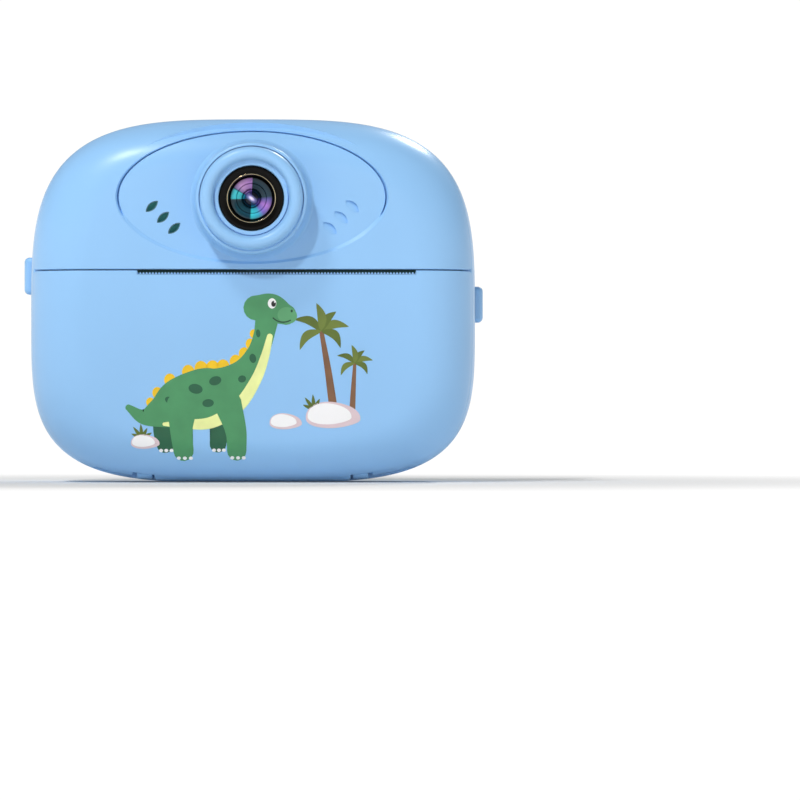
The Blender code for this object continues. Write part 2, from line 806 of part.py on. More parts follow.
def make_gear_train():
    """Three meshing gears. The idler has a tooth on the line towards the platen gear."""
    platen, idler, pinion = gear_middles()
    idler_first = math.pi
    platen_first = math.pi / PLATEN_TEETH
    lag = (PINION_DIRECTION - idler_first) % (2 * math.pi / IDLER_TEETH)
    pinion_first = PINION_DIRECTION + math.pi + lag * IDLER_TEETH / PINION_TEETH
    pinion_first += math.pi / PINION_TEETH
    bore = SHAFT_RADIUS + GAP
    pinion_bore = MOTOR_SHAFT_RADIUS + GAP
    gears = (
        make_gear("platen_gear", PLATEN_TEETH, platen_first, platen, "white_plastic", bore),
        make_gear("idler_gear", IDLER_TEETH, idler_first, idler, "white_plastic", bore),
        make_gear("motor_pinion", PINION_TEETH, pinion_first, pinion, "brass", pinion_bore),
    )
    rod("idler_axle", (GEAR_X[0] - 0.6, *idler), (-26.5, *idler), SHAFT_RADIUS, "steel", 16)
    plate = box("gear_plate", (-26.2, -25.4), (-2.5, FRAME_Y[0] - GAP), (24.0, 50.0), "steel")
    cut(plate, rod("plate_shaft_hole", (-30.0, *pinion), (-20.0, *pinion), 2.0, sides=16))
    return gears


def make_motor():
    _, _, pinion = gear_middles()
    motor = rod("print_motor", (-43.0, *pinion), (-30.0, *pinion), MOTOR_RADIUS, "steel", 28)
    cut(motor, rod("motor_bore", (-33.0, *pinion), (-29.0, *pinion), 1.1, sides=16))
    shaft_end = (GEAR_X[1] + 0.2, *pinion)
    return rod("motor_shaft", (-32.6, *pinion), shaft_end, MOTOR_SHAFT_RADIUS, "steel", 12)


def make_platen():
    """Rubber roller on a steel shaft, between the ears of a bracket on the door."""
    low, high = paper_limits(0.3)
    roller = [
        (SHAFT_RADIUS + GAP, high),
        (PLATEN_RADIUS, high),
        (PLATEN_RADIUS, low),
        (SHAFT_RADIUS + GAP, low),
    ]
    rubber = turned("platen_roller", roller, (0, PLATEN_Y, PLATEN_Z), (1, 0, 0), "rubber", 28)
    shaft = rod(
        "platen_shaft",
        (GEAR_X[0] - 0.4, PLATEN_Y, PLATEN_Z),
        (high + 2.6, PLATEN_Y, PLATEN_Z),
        SHAFT_RADIUS,
        "steel",
        16,
    )
    bracket_x = paper_limits(1.9)
    rail_y = (FRONT_Y + WALL + GAP, FRONT_Y + WALL + 1.5)
    bracket = box("platen_bracket", bracket_x, rail_y, (34.0, 38.5), "grey_plastic")
    for side, x in zip(("left", "right"), bracket_x):
        inner = x + (1.2 if side == "left" else -1.2)
        ear_y = (rail_y[0], PLATEN_Y + 2.4)
        join(bracket, box(f"platen_ear_{side}", sorted((x, inner)), ear_y, (34.0, 43.4)))
    start = (-40.0, PLATEN_Y, PLATEN_Z)
    end = (50.0, PLATEN_Y, PLATEN_Z)
    cut(bracket, rod("ear_bore", start, end, SHAFT_RADIUS + GAP, sides=16))
    return rubber, shaft, bracket


def make_paper_bay():
    """Tray with a round cradle and two end walls that the paper roll lies in."""
    x = paper_limits(2.0)
    bay = box("paper_bay", x, (-5.8, FRAME_Y[0] - GAP), (5.6, 31.0), "white_plastic")
    inside = (x[0] + 1.2, x[1] - 1.2)
    radius = ROLL_RADIUS + 0.6
    start = (inside[0], ROLL_Y, ROLL_Z)
    end = (inside[1], ROLL_Y, ROLL_Z)
    cradle = rod("cradle", start, end, radius, sides=40)
    above = box("cradle_top", inside, (-20.0, ROLL_Y + radius), (ROLL_Z, 40.0))
    cut(bay, cradle, above)


def make_paper_roll():
    low, high = paper_limits()
    paper = [
        (CORE_RADIUS + GAP, high),
        (ROLL_RADIUS, high),
        (ROLL_RADIUS, low),
        (CORE_RADIUS + GAP, low),
    ]
    roll = turned("paper_roll", paper, (0, ROLL_Y, ROLL_Z), (1, 0, 0), "paper", 40)
    core = [(3.2, high), (CORE_RADIUS, high), (CORE_RADIUS, low), (3.2, low)]
    tube = turned("paper_core", core, (0, ROLL_Y, ROLL_Z), (1, 0, 0), "cardboard", 24)
    return roll, tube


def make_print_flex():
    """Flat ribbon from the print head's heat sink over the frame to the main board."""
    path = [(-3.0, 46.9), (-3.0, 48.6), (-1.5, 50.2), (9.0, 50.8), (13.9, 50.8)]
    thickness = 0.35
    outline = list(path)
    outline += [(y, z + thickness) for y, z in reversed(path[2:])]
    outline += [(path[1][0] - thickness, path[1][1] + 0.2), (path[0][0] - thickness, path[0][1])]
    flex = flat_piece("print_flex", outline, (-6.0, 6.0), "flex_amber")
    turn = Matrix(((0, -1, 0, 0), (1, 0, 0, 0), (0, 0, 1, 0), (0, 0, 0, 1)))
    flex.data.transform(Matrix.Translation(Vector((PAPER_X, 0, 0)) * MM) @ turn)


# ---------------------------------------------------------------- electronics


def make_boards():
    box("main_board", (-44.0, 43.0), BOARD_Y, (18.5, 63.5), "board_green")
    box("battery", (-14.0, 26.0), (FRAME_Y[1] + GAP, 19.4), (24.0, 60.0), "cell_silver")
    low_x = SCREEN_X - SCREEN_WIDTH / 2 - 2.0
    high_x = SCREEN_X + SCREEN_WIDTH / 2 + 1.2
    low_z = SCREEN_Z - SCREEN_HEIGHT / 2 - 2.6
    high_z = SCREEN_Z + SCREEN_HEIGHT / 2 + 0.7
    box("lcd_module", (low_x, high_x), (BOARD_Y[1] + 0.4, 24.2), (low_z, high_z), "cell_silver")


def window(grow):
    half_x = SCREEN_WIDTH / 2 + grow
    half_z = SCREEN_HEIGHT / 2 + grow
    return (SCREEN_X - half_x, SCREEN_X + half_x), (SCREEN_Z - half_z, SCREEN_Z + half_z)


def button_places():
    """Name, centre, size and lean of each button on the panel."""
    rows = [
        ("shutter_button", (-32.8, 55.0), LARGE_BUTTON, 0.0),
        ("power_button", (-32.6, 20.5), LARGE_BUTTON, 0.0),
    ]
    names = {
        (1, 1): "print_button",
        (-1, 1): "up_button",
        (1, -1): "album_button",
        (-1, -1): "down_button",
    }
    for (side, up), name in names.items():
        x = KEY_GROUP[0] + side * KEY_SPACING[0]
        z = KEY_GROUP[1] + up * KEY_SPACING[1]
        rows.append((name, (x, z), SMALL_BUTTON, -side * up * KEY_LEAN))
    return rows


def make_screen_panel():
    back = PANEL_BACK_Y
    y = (back - PANEL_THICKNESS, back)
    panel = flat_piece("screen_panel", panel_outline(), y, "navy_panel")
    x, z = window(0.35)
    cut(panel, box("screen_window", x, CUT_Y, z))
    for name, centre, size, lean in button_places():
        hole = ellipse(centre, size[0] + 2 * GAP, size[1] + 2 * GAP, lean)
        cut(panel, flat_piece(name + "_hole", hole, CUT_Y))
    mic_start = (MIC[0], CUT_Y[0], MIC[1])
    cut(panel, rod("mic_hole", mic_start, (MIC[0], CUT_Y[1], MIC[1]), 0.5, sides=12))
    x, z = window(0.0)
    box("screen_glass", x, (24.5, back - 0.1), z, "screen_glass")
    rod("microphone", (MIC[0], 22.0, MIC[1]), (MIC[0], 24.6, MIC[1]), 1.0, "steel", 12)


def make_buttons():
    """Oval caps that stand out of the panel, with a flange behind it."""
    flange_y = (PANEL_BACK_Y - PANEL_THICKNESS - 1.0, PANEL_BACK_Y - PANEL_THICKNESS - GAP)
    for name, centre, size, lean in button_places():
        cap_y = (KEY_FOOT_Y, BUTTON_TOP_Y)
        cap = flat_piece(name, ellipse(centre, *size, lean), cap_y, "button_blue")
        flange = ellipse(centre, size[0] + FLANGE_MARGIN, size[1] + FLANGE_MARGIN, lean)
        join(cap, flat_piece(name + "_flange", flange, flange_y))
        carry(name + "_pivot", (centre[0], BUTTON_TOP_Y, centre[1]), [cap])
    box("button_pad", (-38.9, -26.3), (21.5, 21.9), (14.0, 61.5), "rubber")


def make_selfie_camera():
    bezel = [(1.75, 26.4), (2.4, 27.2), (2.4, 24.9), (1.75, 24.9)]
    turned("selfie_bezel", bezel, (0, 0, SELFIE_Z), (0, 1, 0), "black_plastic", 24)
    lens = [(0.0, 26.5), (0.9, 26.3), (1.5, 25.8), (1.5, 25.0), (0.0, 25.0)]
    turned("selfie_lens", lens, (0, 0, SELFIE_Z), (0, 1, 0), "coated_glass", 24)
    z = (SELFIE_Z - 3.0, SELFIE_Z + 3.0)
    box("selfie_module", (-3.0, 3.0), (21.0, 24.6), z, "black_plastic")


def make_ports():
    """USB-C socket, card socket and the memory card in it, on the -X side."""
    usb_z = (USB_Z - 4.5, USB_Z + 4.5)
    usb = box("usb_port", (-48.8, -41.5), (PORT_Y - 1.6, PORT_Y + 1.2), usb_z, "steel")
    mouth_y = (PORT_Y - 1.25, PORT_Y + 0.85)
    cut(usb, box("usb_mouth", (-50.0, -43.0), mouth_y, (USB_Z - 4.1, USB_Z + 4.1)))
    tongue_y = (PORT_Y - 0.5, PORT_Y + 0.1)
    join(usb, box("usb_tongue", (-48.0, -42.6), tongue_y, (USB_Z - 3.3, USB_Z + 3.3)))
    socket_z = (CARD_Z - 6.6, CARD_Z + 6.6)
    socket = box("card_socket", (-46.5, -31.5), (PORT_Y - 1.2, PORT_Y + 1.2), socket_z, "steel")
    slot_y = (PORT_Y - 0.8, PORT_Y + 0.8)
    cut(socket, box("card_mouth", (-50.0, -33.0), slot_y, (CARD_Z - 5.8, CARD_Z + 5.8)))
    card_y = (PORT_Y - 0.45, PORT_Y + 0.45)
    card_z = (CARD_Z - 5.5, CARD_Z + 5.5)
    card = box("memory_card", (-48.6, -33.6), card_y, card_z, "black_plastic")
    carry("memory_card_pivot", (-48.6, PORT_Y, CARD_Z), [card])


# ---------------------------------------------------------------- side fittings


def side_piece(name, y, z, x, finish=None):
    """A block with rounded (y, z) corners between two x values."""
    shape = box(name, x, y, z, finish)
    bevel = shape.modifiers.new("round", "BEVEL")
    bevel.width = 1.0 * MM
    bevel.segments = 2
    bevel.limit_method = "ANGLE"
    return shape


def make_latch():
    """Door release: a tab in the right side wall, with a flange and an arm inside."""
    tab = side_piece("latch_button", TAB_Y, LATCH_Z, (46.9, TAB_REACH), "case_blue")
    flange_z = (LATCH_Z[0] - 1.5, LATCH_Z[1] + 1.5)
    join(tab, box("latch_flange", (46.2, 47.4), (TAB_Y[0] - 1.0, TAB_Y[1] + 1.5), flange_z))
    arm_z = (38.5, 41.5)
    join(tab, box("latch_arm_root", (43.4, 46.8), (-2.5, 3.0), arm_z))
    join(tab, box("latch_arm", (43.4, 45.8), (-11.0, 2.0), arm_z))
    carry("latch_pivot", (TAB_REACH, sum(TAB_Y) / 2, sum(LATCH_Z) / 2), [tab])


def make_strap_lug():
    """Bar for a wrist strap: it stands off the left side wall, and the cord goes behind."""
    lug = side_piece("strap_lug", LUG_Y, LUG_Z, (-TAB_REACH, -46.4), "case_blue")
    inner_z = (LUG_Z[0] + 1.8, LUG_Z[1] - 1.8)
    cut(lug, box("cord_hole", (-50.2, -47.8), (-10.0, 20.0), inner_z))


# ---------------------------------------------------------------- assembly


clear_scene()
parts = new_collection("kids_print_camera")
helpers = new_collection("cutters")

make_front_cover()
paper_door = make_paper_door()
make_hinge_pin()
make_rear_shell()
make_mid_frame()
make_case_screws()

make_lens_barrel()
make_lens_stack()
make_speaker()

make_tear_bar()
make_print_head()
platen_gear, idler_gear, motor_pinion = make_gear_train()
motor_shaft = make_motor()
platen_roller, platen_shaft, platen_bracket = make_platen()
make_paper_bay()
paper_roll, paper_core = make_paper_roll()
make_print_flex()

make_boards()
make_screen_panel()
make_buttons()
make_selfie_camera()
make_ports()
make_latch()
make_strap_lug()

platen_middle, idler_middle, pinion_middle = gear_middles()
gear_x = sum(GEAR_X) / 2
door_pivot = carry("door_pivot", (0, HINGE_Y, HINGE_Z), [paper_door, platen_bracket])
carry(
    "platen_pivot",
    (gear_x, *platen_middle),
    [platen_roller, platen_shaft, platen_gear],
    door_pivot,
)
carry("idler_pivot", (gear_x, *idler_middle), [idler_gear])
carry("motor_pivot", (gear_x, *pinion_middle), [motor_pinion, motor_shaft])
carry("paper_roll_pivot", (PAPER_X, ROLL_Y, ROLL_Z), [paper_roll, paper_core])
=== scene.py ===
"""Looks of the instant-print camera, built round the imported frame.

Lengths are millimetres in this file and become metres where a mesh is made. The frame's
axes hold: the lens looks towards -Y, the screen faces +Y, +Z is up.
"""

import math

import bmesh
import bpy
import numpy as np
from mathutils import Matrix, Vector


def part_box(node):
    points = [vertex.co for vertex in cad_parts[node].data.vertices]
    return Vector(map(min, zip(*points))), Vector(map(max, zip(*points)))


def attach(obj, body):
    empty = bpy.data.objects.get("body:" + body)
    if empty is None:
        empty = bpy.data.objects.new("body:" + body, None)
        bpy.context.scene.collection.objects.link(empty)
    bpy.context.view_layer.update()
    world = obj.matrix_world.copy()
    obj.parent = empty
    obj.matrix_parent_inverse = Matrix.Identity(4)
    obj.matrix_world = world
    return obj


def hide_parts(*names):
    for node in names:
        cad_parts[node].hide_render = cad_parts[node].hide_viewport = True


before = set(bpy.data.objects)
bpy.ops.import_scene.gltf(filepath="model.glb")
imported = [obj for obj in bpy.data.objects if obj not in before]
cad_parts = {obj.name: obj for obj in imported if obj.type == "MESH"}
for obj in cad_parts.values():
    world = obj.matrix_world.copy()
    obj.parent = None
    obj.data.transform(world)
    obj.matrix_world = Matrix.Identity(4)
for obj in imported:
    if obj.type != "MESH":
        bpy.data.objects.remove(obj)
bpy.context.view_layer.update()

MM = 0.001


def frame_box(node):
    """Lowest and highest corner of a CAD node, in millimetres."""
    low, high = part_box(node)
    return low / MM, high / MM


def middle_of(low, high, axes):
    """The middle between two corners, along the axes named by their letters."""
    return tuple((getattr(low, axis) + getattr(high, axis)) / 2 for axis in axes)


# ---------------------------------------------------------------- driving sizes

SHELL_LOW, SHELL_HIGH = frame_box("rear_shell")
COVER_LOW, COVER_HIGH = frame_box("front_cover")
DOOR_HIGH = frame_box("paper_door")[1]
BARREL_LOW, BARREL_HIGH = frame_box("lens_barrel")
PANEL_LOW, PANEL_HIGH = frame_box("screen_panel")
GLASS_LOW, GLASS_HIGH = frame_box("screen_glass")
TEAR_LOW, TEAR_HIGH = frame_box("tear_bar")
SELFIE_LOW, SELFIE_HIGH = frame_box("selfie_bezel")

# The case outline: half width, the height where it is widest, and its reach above and below.
HALF_WIDTH = 50.0
WIDEST_Z = 36.3
RISE = SHELL_HIGH.z - WIDEST_Z
DROP = 36.6
UPPER_POWER = 3.5
LOWER_POWER = 3.75
WALL = 2.0
EDGE = 0.28
# How deep the front and the back roll over, and how far (across, up) the outline draws in.
FRONT_Y = COVER_LOW.y
FRONT_ROLL = 13.0
FRONT_INSET = (13.0, 10.0)
CROWN = 0.25
REAR_Y = SHELL_HIGH.y
REAR_ROLL = 12.0
REAR_INSET = (3.6, 6.5)
# The seam round the case, and the line between the cover and the door.
SEAM_Y = (COVER_HIGH.y + SHELL_LOW.y) / 2
HALF_SEAM = 0.12
PARTING_Z = (COVER_LOW.z + DOOR_HIGH.z) / 2
# The recess is an ellipse: middle x and z, half width, half height.
LENS_Z = (BARREL_LOW.z + BARREL_HIGH.z) / 2
EYE = (0.0, 63.7, 30.5, 15.0)
EYE_DEPTH = 0.55
EYE_STEP = 0.011
# Leaf marks: three sound holes, mirrored by three dimples with a sloping floor.
MARK_MIDDLES = [(-22.4 + 2.5 * i, 61.6 - 2.45 * i) for i in range(3)]
MARK_LEAN = math.radians(42.0)
DIMPLE_SLOPE = 0.36
DIMPLE_HALF = 0.85
# The panel's outline on the back, and the hollow in the rim over the second camera.
PANEL_POWER = 11.0
PANEL_MIDDLE = (0.0, (PANEL_LOW.z + PANEL_HIGH.z) / 2)
PANEL_HALF = (PANEL_HIGH.x, (PANEL_HIGH.z - PANEL_LOW.z) / 2)
SELFIE_Z = (SELFIE_LOW.z + SELFIE_HIGH.z) / 2
SCOOP_RADIUS = 4.75
SCOOP_Y = 25.95
# The door's hinge: its axis (y, z) and half the barrel's length.
HINGE = (-9.0, 2.9)
HINGE_HALF = 22.0
# The door's release tab in the +X wall: its inner x, and its reach in y and z.
TAB_X = 46.9
TAB_Y = (-2.0, 8.0)
TAB_Z = (35.8, 43.9)
# The depth y of the ports in the -X wall, and the buttons' lean and top.
PORT_Y = sum(corner.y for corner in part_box("memory_card")) / 2 / MM
BUTTON_LEAN = math.radians(38.0)
BUTTON_TOP_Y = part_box("shutter_button")[1].y / MM
# Prints are cut into cells, so that they bend with the door; each layer stands a step prouder.
DECAL_CELL = 0.9
PRINT_PROUD = 0.02
PRINT_STEP = 0.008
PRINT_SUNK = 0.06
CURVE_STEPS = 8
# Stage: the backdrop's glow, and the distances (m) between which the floor takes it on.
BACKDROP = 1.06
FLOOR_FADE = (0.06, 0.24)
TAU = 2 * math.pi

UP = np.array((0.0, 0.0, 1.0))
BACK = np.array((0.0, 1.0, 0.0))


# ---------------------------------------------------------------- materials


def shader_of(material):
    return material.node_tree.nodes["Principled BSDF"]


def new_material(name, roughness=0.4, metallic=0.0, **sockets):
    """A Principled material whose constant values sit on the shader's own sockets."""
    made = bpy.data.materials.new(name)
    made.use_nodes = True
    shader = shader_of(made)
    shader.inputs["Roughness"].default_value = roughness
    shader.inputs["Metallic"].default_value = metallic
    for socket, value in sockets.items():
        shader.inputs[socket.replace("_", " ")].default_value = value
    return made


def link(owner, source, target):
    owner.node_tree.links.new(source, target)


def add_node(owner, kind, sources=None, **settings):
    """A node in a material's or world's tree: its settings or constants, then its links."""
    node = owner.node_tree.nodes.new(kind)
    for key, value in settings.items():
        socket = key.replace("_", " ")
        if socket in node.inputs:
            node.inputs[socket].default_value = value
        else:
            setattr(node, key, value)
    for socket, source in (sources or {}).items():
        link(owner, source, node.inputs[socket])
    return node


def position(material):
    """The place on the surface, in the object's own coordinates."""
    return add_node(material, "ShaderNodeTexCoord").outputs["Object"]


def vector_math(material, operation, source, constant=None):
    """One step of arithmetic on a vector, with a constant vector where it takes one."""
    node = add_node(material, "ShaderNodeVectorMath", {0: source}, operation=operation)
    if constant:
        node.inputs[1].default_value = constant
    return node.outputs["Value" if operation == "LENGTH" else "Vector"]


def mapped(owner, source, given, wanted, **settings):
    """The value moved from the range given to the range wanted."""
    node = add_node(owner, "ShaderNodeMapRange", {"Value": source}, **settings)
    for side, ends in (("From", given), ("To", wanted)):
        node.inputs[side + " Min"].default_value = ends[0]
        node.inputs[side + " Max"].default_value = ends[1]
    return node.outputs["Result"]


def mixed(material, way, first, second):
    """Two colours multiplied or added."""
    settings = {"data_type": "RGBA", "blend_type": way, "Factor": 1.0}
    return add_node(material, "ShaderNodeMix", {"A": first, "B": second}, **settings).outputs["Result"]


def noise_of(material, scale, detail, stretch):
    """Noise over the object's own coordinates, with features of about 1/scale metres."""
    mapping = add_node(material, "ShaderNodeMapping", {"Vector": position(material)}, Scale=stretch)
    vector = {"Vector": mapping.outputs["Vector"]}
    return add_node(material, "ShaderNodeTexNoise", vector, Scale=scale, Detail=detail).outputs["Fac"]


def ramp_of(material, source, stops):
    """A colour ramp with stops of (position, colour)."""
    ramp = add_node(material, "ShaderNodeValToRGB", {"Fac": source})
    while len(ramp.color_ramp.elements) < len(stops):
        ramp.color_ramp.elements.new(1.0)
    for element, (place, colour) in zip(ramp.color_ramp.elements, stops):
        element.position = place
        element.color = (*colour, 1.0)
    return ramp.outputs["Color"]


def shade(colour, amount):
    return tuple(min(max(channel * amount, 0.0), 1.0) for channel in colour)


def tint_by_noise(material, colour, spread, scale, stretch=(1.0, 1.0, 1.0)):
    """Base colour that wanders a little about its mean, as moulded or printed colour does."""
    stops = ((0.3, shade(colour, 1 - spread)), (0.7, shade(colour, 1 + spread)))
    tint = ramp_of(material, noise_of(material, scale, 2.0, stretch), stops)
    link(material, tint, shader_of(material).inputs["Base Color"])


def roughness_by_noise(material, low, high, scale, stretch=(1.0, 1.0, 1.0)):
    spread = mapped(material, noise_of(material, scale, 4.0, stretch), (0.0, 1.0), (low, high))
    link(material, spread, shader_of(material).inputs["Roughness"])
    return material


def bump_from(material, source, strength, distance):
    bump = add_node(material, "ShaderNodeBump", {"Height": source}, Strength=strength, Distance=distance)
    link(material, bump.outputs["Normal"], shader_of(material).inputs["Normal"])
    return material


def grain(material, scale, strength, distance=0.00002, stretch=(1.0, 1.0, 1.0)):
    return bump_from(material, noise_of(material, scale, 4.0, stretch), strength, distance)


def moulded(name, colour, roughness, spread=0.03, grain_scale=4200.0, strength=0.12, **sockets):
    """Injection-moulded plastic: faint flow marks in the colour and a fine spark-eroded skin."""
    made = new_material(name, **sockets)
    tint_by_noise(made, colour, spread, 22.0)
    roughness_by_noise(made, roughness - 0.05, roughness + 0.06, 60.0)
    return grain(made, grain_scale, strength)


def brushed(name, colour, roughness, axis):
    """Metal with fine lines that run round or along one axis."""
    made = new_material(name, metallic=1.0)
    stretch = [1.0, 1.0, 1.0]
    stretch[axis] = 0.03
    tint_by_noise(made, colour, 0.12, 900.0, tuple(stretch))
    roughness_by_noise(made, roughness - 0.08, roughness + 0.1, 1500.0, tuple(stretch))
    return grain(made, 2600.0, 0.15, 0.00001, tuple(stretch))


CASE_BLUE = (0.300, 0.578, 0.930)
KEY_BLUE = (0.375, 0.640, 0.960)

blue = moulded("case_blue", CASE_BLUE, 0.33, Coat_Weight=0.12, Coat_Roughness=0.2)
key_blue = moulded("key_blue", KEY_BLUE, 0.42, grain_scale=5200.0, strength=0.2)
# Painted shade: the deeper blue that fills the buttons' sunk marks.
mark_blue = moulded("mark_blue", (0.075, 0.19, 0.42), 0.5)
black = moulded("black_plastic", (0.012, 0.011, 0.010), 0.42, spread=0.25)
teal_black = moulded("tear_bar_black", (0.004, 0.020, 0.024), 0.5, spread=0.2, Specular_IOR_Level=0.15)
# Painted shade: the sound holes' walls, darker and greyer than the case.
painted_hole_shade = moulded("painted_hole_shade", (0.10, 0.22, 0.26), 0.5)
gloss_black = moulded("gloss_black", (0.004, 0.0035, 0.003), 0.26, 0.2, 4200.0, 0.06, Specular_IOR_Level=0.12)
navy = moulded("navy_panel", (0.006, 0.013, 0.028), 0.14, 0.12, 4200.0, 0.02, Specular_IOR_Level=0.2)
gold = brushed("gold", (0.56, 0.45, 0.27), 0.16, 1)
metal = brushed("steel", (0.58, 0.59, 0.61), 0.3, 0)


def printed(name, colour, spread=0.06):
    """Pad-printed ink: a thin even film with a faint mottle and a soft gloss."""
    made = new_material(name, 0.36, Coat_Weight=0.15, Coat_Roughness=0.25)
    tint_by_noise(made, colour, spread, 260.0)
    roughness_by_noise(made, 0.3, 0.42, 900.0)
    return grain(made, 3800.0, 0.06)


dino_green = printed("dino_green", (0.068, 0.300, 0.120))
dino_light = printed("dino_light", (0.110, 0.380, 0.165))
dino_dark = printed("dino_dark", (0.012, 0.115, 0.052))
dino_line = printed("dino_line", (0.010, 0.060, 0.032))
belly_cream = printed("belly_cream", (0.880, 0.940, 0.380))
plate_yellow = printed("plate_yellow", (0.920, 0.570, 0.004))
ink_black = printed("ink_black", (0.008, 0.008, 0.010))
bark = printed("bark", (0.215, 0.100, 0.045), 0.14)
palm_green = printed("palm_green", (0.100, 0.150, 0.016), 0.12)
palm_light = printed("palm_light", (0.150, 0.205, 0.030), 0.12)
rock_white = printed("rock_white", (0.990, 0.980, 0.985), 0.01)
rock_shade = printed("rock_shade", (0.760, 0.600, 0.640), 0.04)


def coated(name, sectors, middle, rings, glint=None):
    """Coated glass with painted reflections in its base colour: sectors round the axis, and painted light and
    dark rings at its steps.

    middle is the axis's (x, z) in millimetres; sectors are (position, colour) stops round it,
    rings the stops outwards, and glint squeezes an oblong painted highlight over the middle."""
    made = new_material(name, 0.05, Coat_Weight=0.25, Coat_Roughness=0.02, Specular_IOR_Level=0.25)
    offset = vector_math(made, "SUBTRACT", position(made), (middle[0] * MM, 0.0, middle[1] * MM))
    split = add_node(made, "ShaderNodeSeparateXYZ", {"Vector": offset}).outputs
    turn = add_node(made, "ShaderNodeMath", {0: split["Z"], 1: split["X"]}, operation="ARCTAN2")
    share = mapped(made, turn.outputs["Value"], (-math.pi, math.pi), (0.0, 1.0))
    flat = add_node(made, "ShaderNodeCombineXYZ", {"X": split["X"], "Y": split["Z"]}).outputs["Vector"]
    reach = mapped(made, vector_math(made, "LENGTH", flat), (0.0, RINGS_REACH), (0.0, 1.0))
    colour = mixed(made, "MULTIPLY", ramp_of(made, share, sectors), ramp_of(made, reach, rings))
    # The glint is a painted highlight, added to the painted reflections.
    if glint:
        lean = add_node(made, "ShaderNodeVectorRotate", {"Vector": flat}, rotation_type="Z_AXIS")
        lean.inputs["Angle"].default_value = PAINTED_GLINT_LEAN
        squeezed = vector_math(made, "MULTIPLY", lean.outputs["Vector"], glint)
        shine = ramp_of(made, vector_math(made, "LENGTH", squeezed), PAINTED_GLINT_RAMP)
        colour = mixed(made, "ADD", colour, shine)
    link(made, colour, shader_of(made).inputs["Base Color"])
    return roughness_by_noise(made, 0.03, 0.08, 700.0)


# Painted reflections, round from -X, below the axis first: left, foot, right, top and left again.
LENS_PAINTED_REFLECTIONS = (
    (0.000, (0.04, 0.62, 0.68)),
    (0.012, (0.004, 0.035, 0.052)),
    (0.130, (0.006, 0.060, 0.085)),
    (0.235, (0.006, 0.050, 0.080)),
    (0.250, (0.04, 0.60, 0.66)),
    (0.320, (0.05, 0.42, 0.58)),
    (0.360, (0.20, 0.16, 0.56)),
    (0.430, (0.42, 0.20, 0.62)),
    (0.490, (0.12, 0.10, 0.36)),
    (0.520, (0.008, 0.040, 0.062)),
    (0.738, (0.005, 0.030, 0.050)),
    (0.745, (0.40, 0.20, 0.56)),
    (0.860, (0.62, 0.34, 0.68)),
    (0.905, (0.28, 0.22, 0.48)),
    (0.915, (0.03, 0.10, 0.16)),
    (0.925, (0.05, 0.66, 0.70)),
    (1.000, (0.04, 0.62, 0.68)),
)
# Painted light and dark rings, outwards from the axis, over a reach of 5 mm.
RINGS_REACH = 0.005
LENS_PAINTED_RINGS = (
    (0.00, (0.03, 0.04, 0.10)),
    (0.31, (0.08, 0.10, 0.24)),
    (0.355, (0.60, 0.65, 0.90)),
    (0.40, (0.10, 0.10, 0.14)),
    (0.45, (0.75, 0.75, 0.8)),
    (0.63, (1.05, 1.05, 1.05)),
    (0.67, (0.35, 0.35, 0.40)),
    (0.71, (1.15, 1.1, 1.15)),
    (0.88, (0.8, 0.8, 0.85)),
    (0.95, (0.02, 0.02, 0.03)),
)
# Painted reflections on the second camera's small lens, in olive tones round its axis.
OLIVE_PAINTED_REFLECTIONS = (
    (0.00, (0.06, 0.07, 0.02)),
    (0.25, (0.02, 0.025, 0.01)),
    (0.55, (0.10, 0.11, 0.03)),
    (0.80, (0.30, 0.30, 0.08)),
    (1.00, (0.06, 0.07, 0.02)),
)
# Painted highlight: bright in the middle of that lens, fading to dark outwards.
OLIVE_PAINTED_RINGS = ((0.0, (1.2, 1.2, 1.2)), (0.14, (0.7, 0.7, 0.7)), (0.2, (0.12, 0.12, 0.12)))
# An oblong painted highlight that leans across the middle of the main lens.
PAINTED_GLINT_LEAN = math.radians(38.0)
PAINTED_GLINT_RAMP = (
    (0.0, (0.95, 0.90, 1.0)),
    (0.30, (0.70, 0.60, 0.90)),
    (0.55, (0.16, 0.16, 0.36)),
    (1.0, (0.0, 0.0, 0.0)),
)
lens_glass = coated("lens_glass", LENS_PAINTED_REFLECTIONS, (0.0, LENS_Z), LENS_PAINTED_RINGS, (600.0, 1250.0, 0.0))
olive_glass = coated("selfie_glass", OLIVE_PAINTED_REFLECTIONS, (0.0, SELFIE_Z), OLIVE_PAINTED_RINGS)


# ---------------------------------------------------------------- mesh helpers


def add_object(name, mesh, material):
    obj = bpy.data.objects.new(name, mesh)
    bpy.context.scene.collection.objects.link(obj)
    if material:
        mesh.materials.append(material)
    return obj


def object_from(shape, name, material):
    """An object from a bmesh, which is used up."""
    mesh = bpy.data.meshes.new(name)
    shape.to_mesh(mesh)
    shape.free()
    return add_object(name, mesh, material)


def smooth(obj, angle=35.0):
    obj.data.shade_smooth()
    obj.data.set_sharp_from_angle(angle=math.radians(angle))
    return obj


def mesh_object(name, points, faces, material, angle=35.0):
    """An object from points in millimetres, its faces turned to point outwards."""
    shape = bmesh.new()
    corners = [shape.verts.new((float(x) * MM, float(y) * MM, float(z) * MM)) for x, y, z in points]
    for face in faces:
        shape.faces.new([corners[i] for i in face])
    bmesh.ops.remove_doubles(shape, verts=shape.verts, dist=1e-7)
    bmesh.ops.recalc_face_normals(shape, faces=shape.faces)
    return smooth(object_from(shape, name, material), angle)


def grid_faces(rows, columns):
    """Quads of a grid stored row by row, closed both ways."""
    faces = []
    for row in range(rows):
        this, after = row * columns, (row + 1) % rows * columns
        for column in range(columns):
            beside = (column + 1) % columns
            faces.append((this + column, this + beside, after + beside, after + column))
    return faces


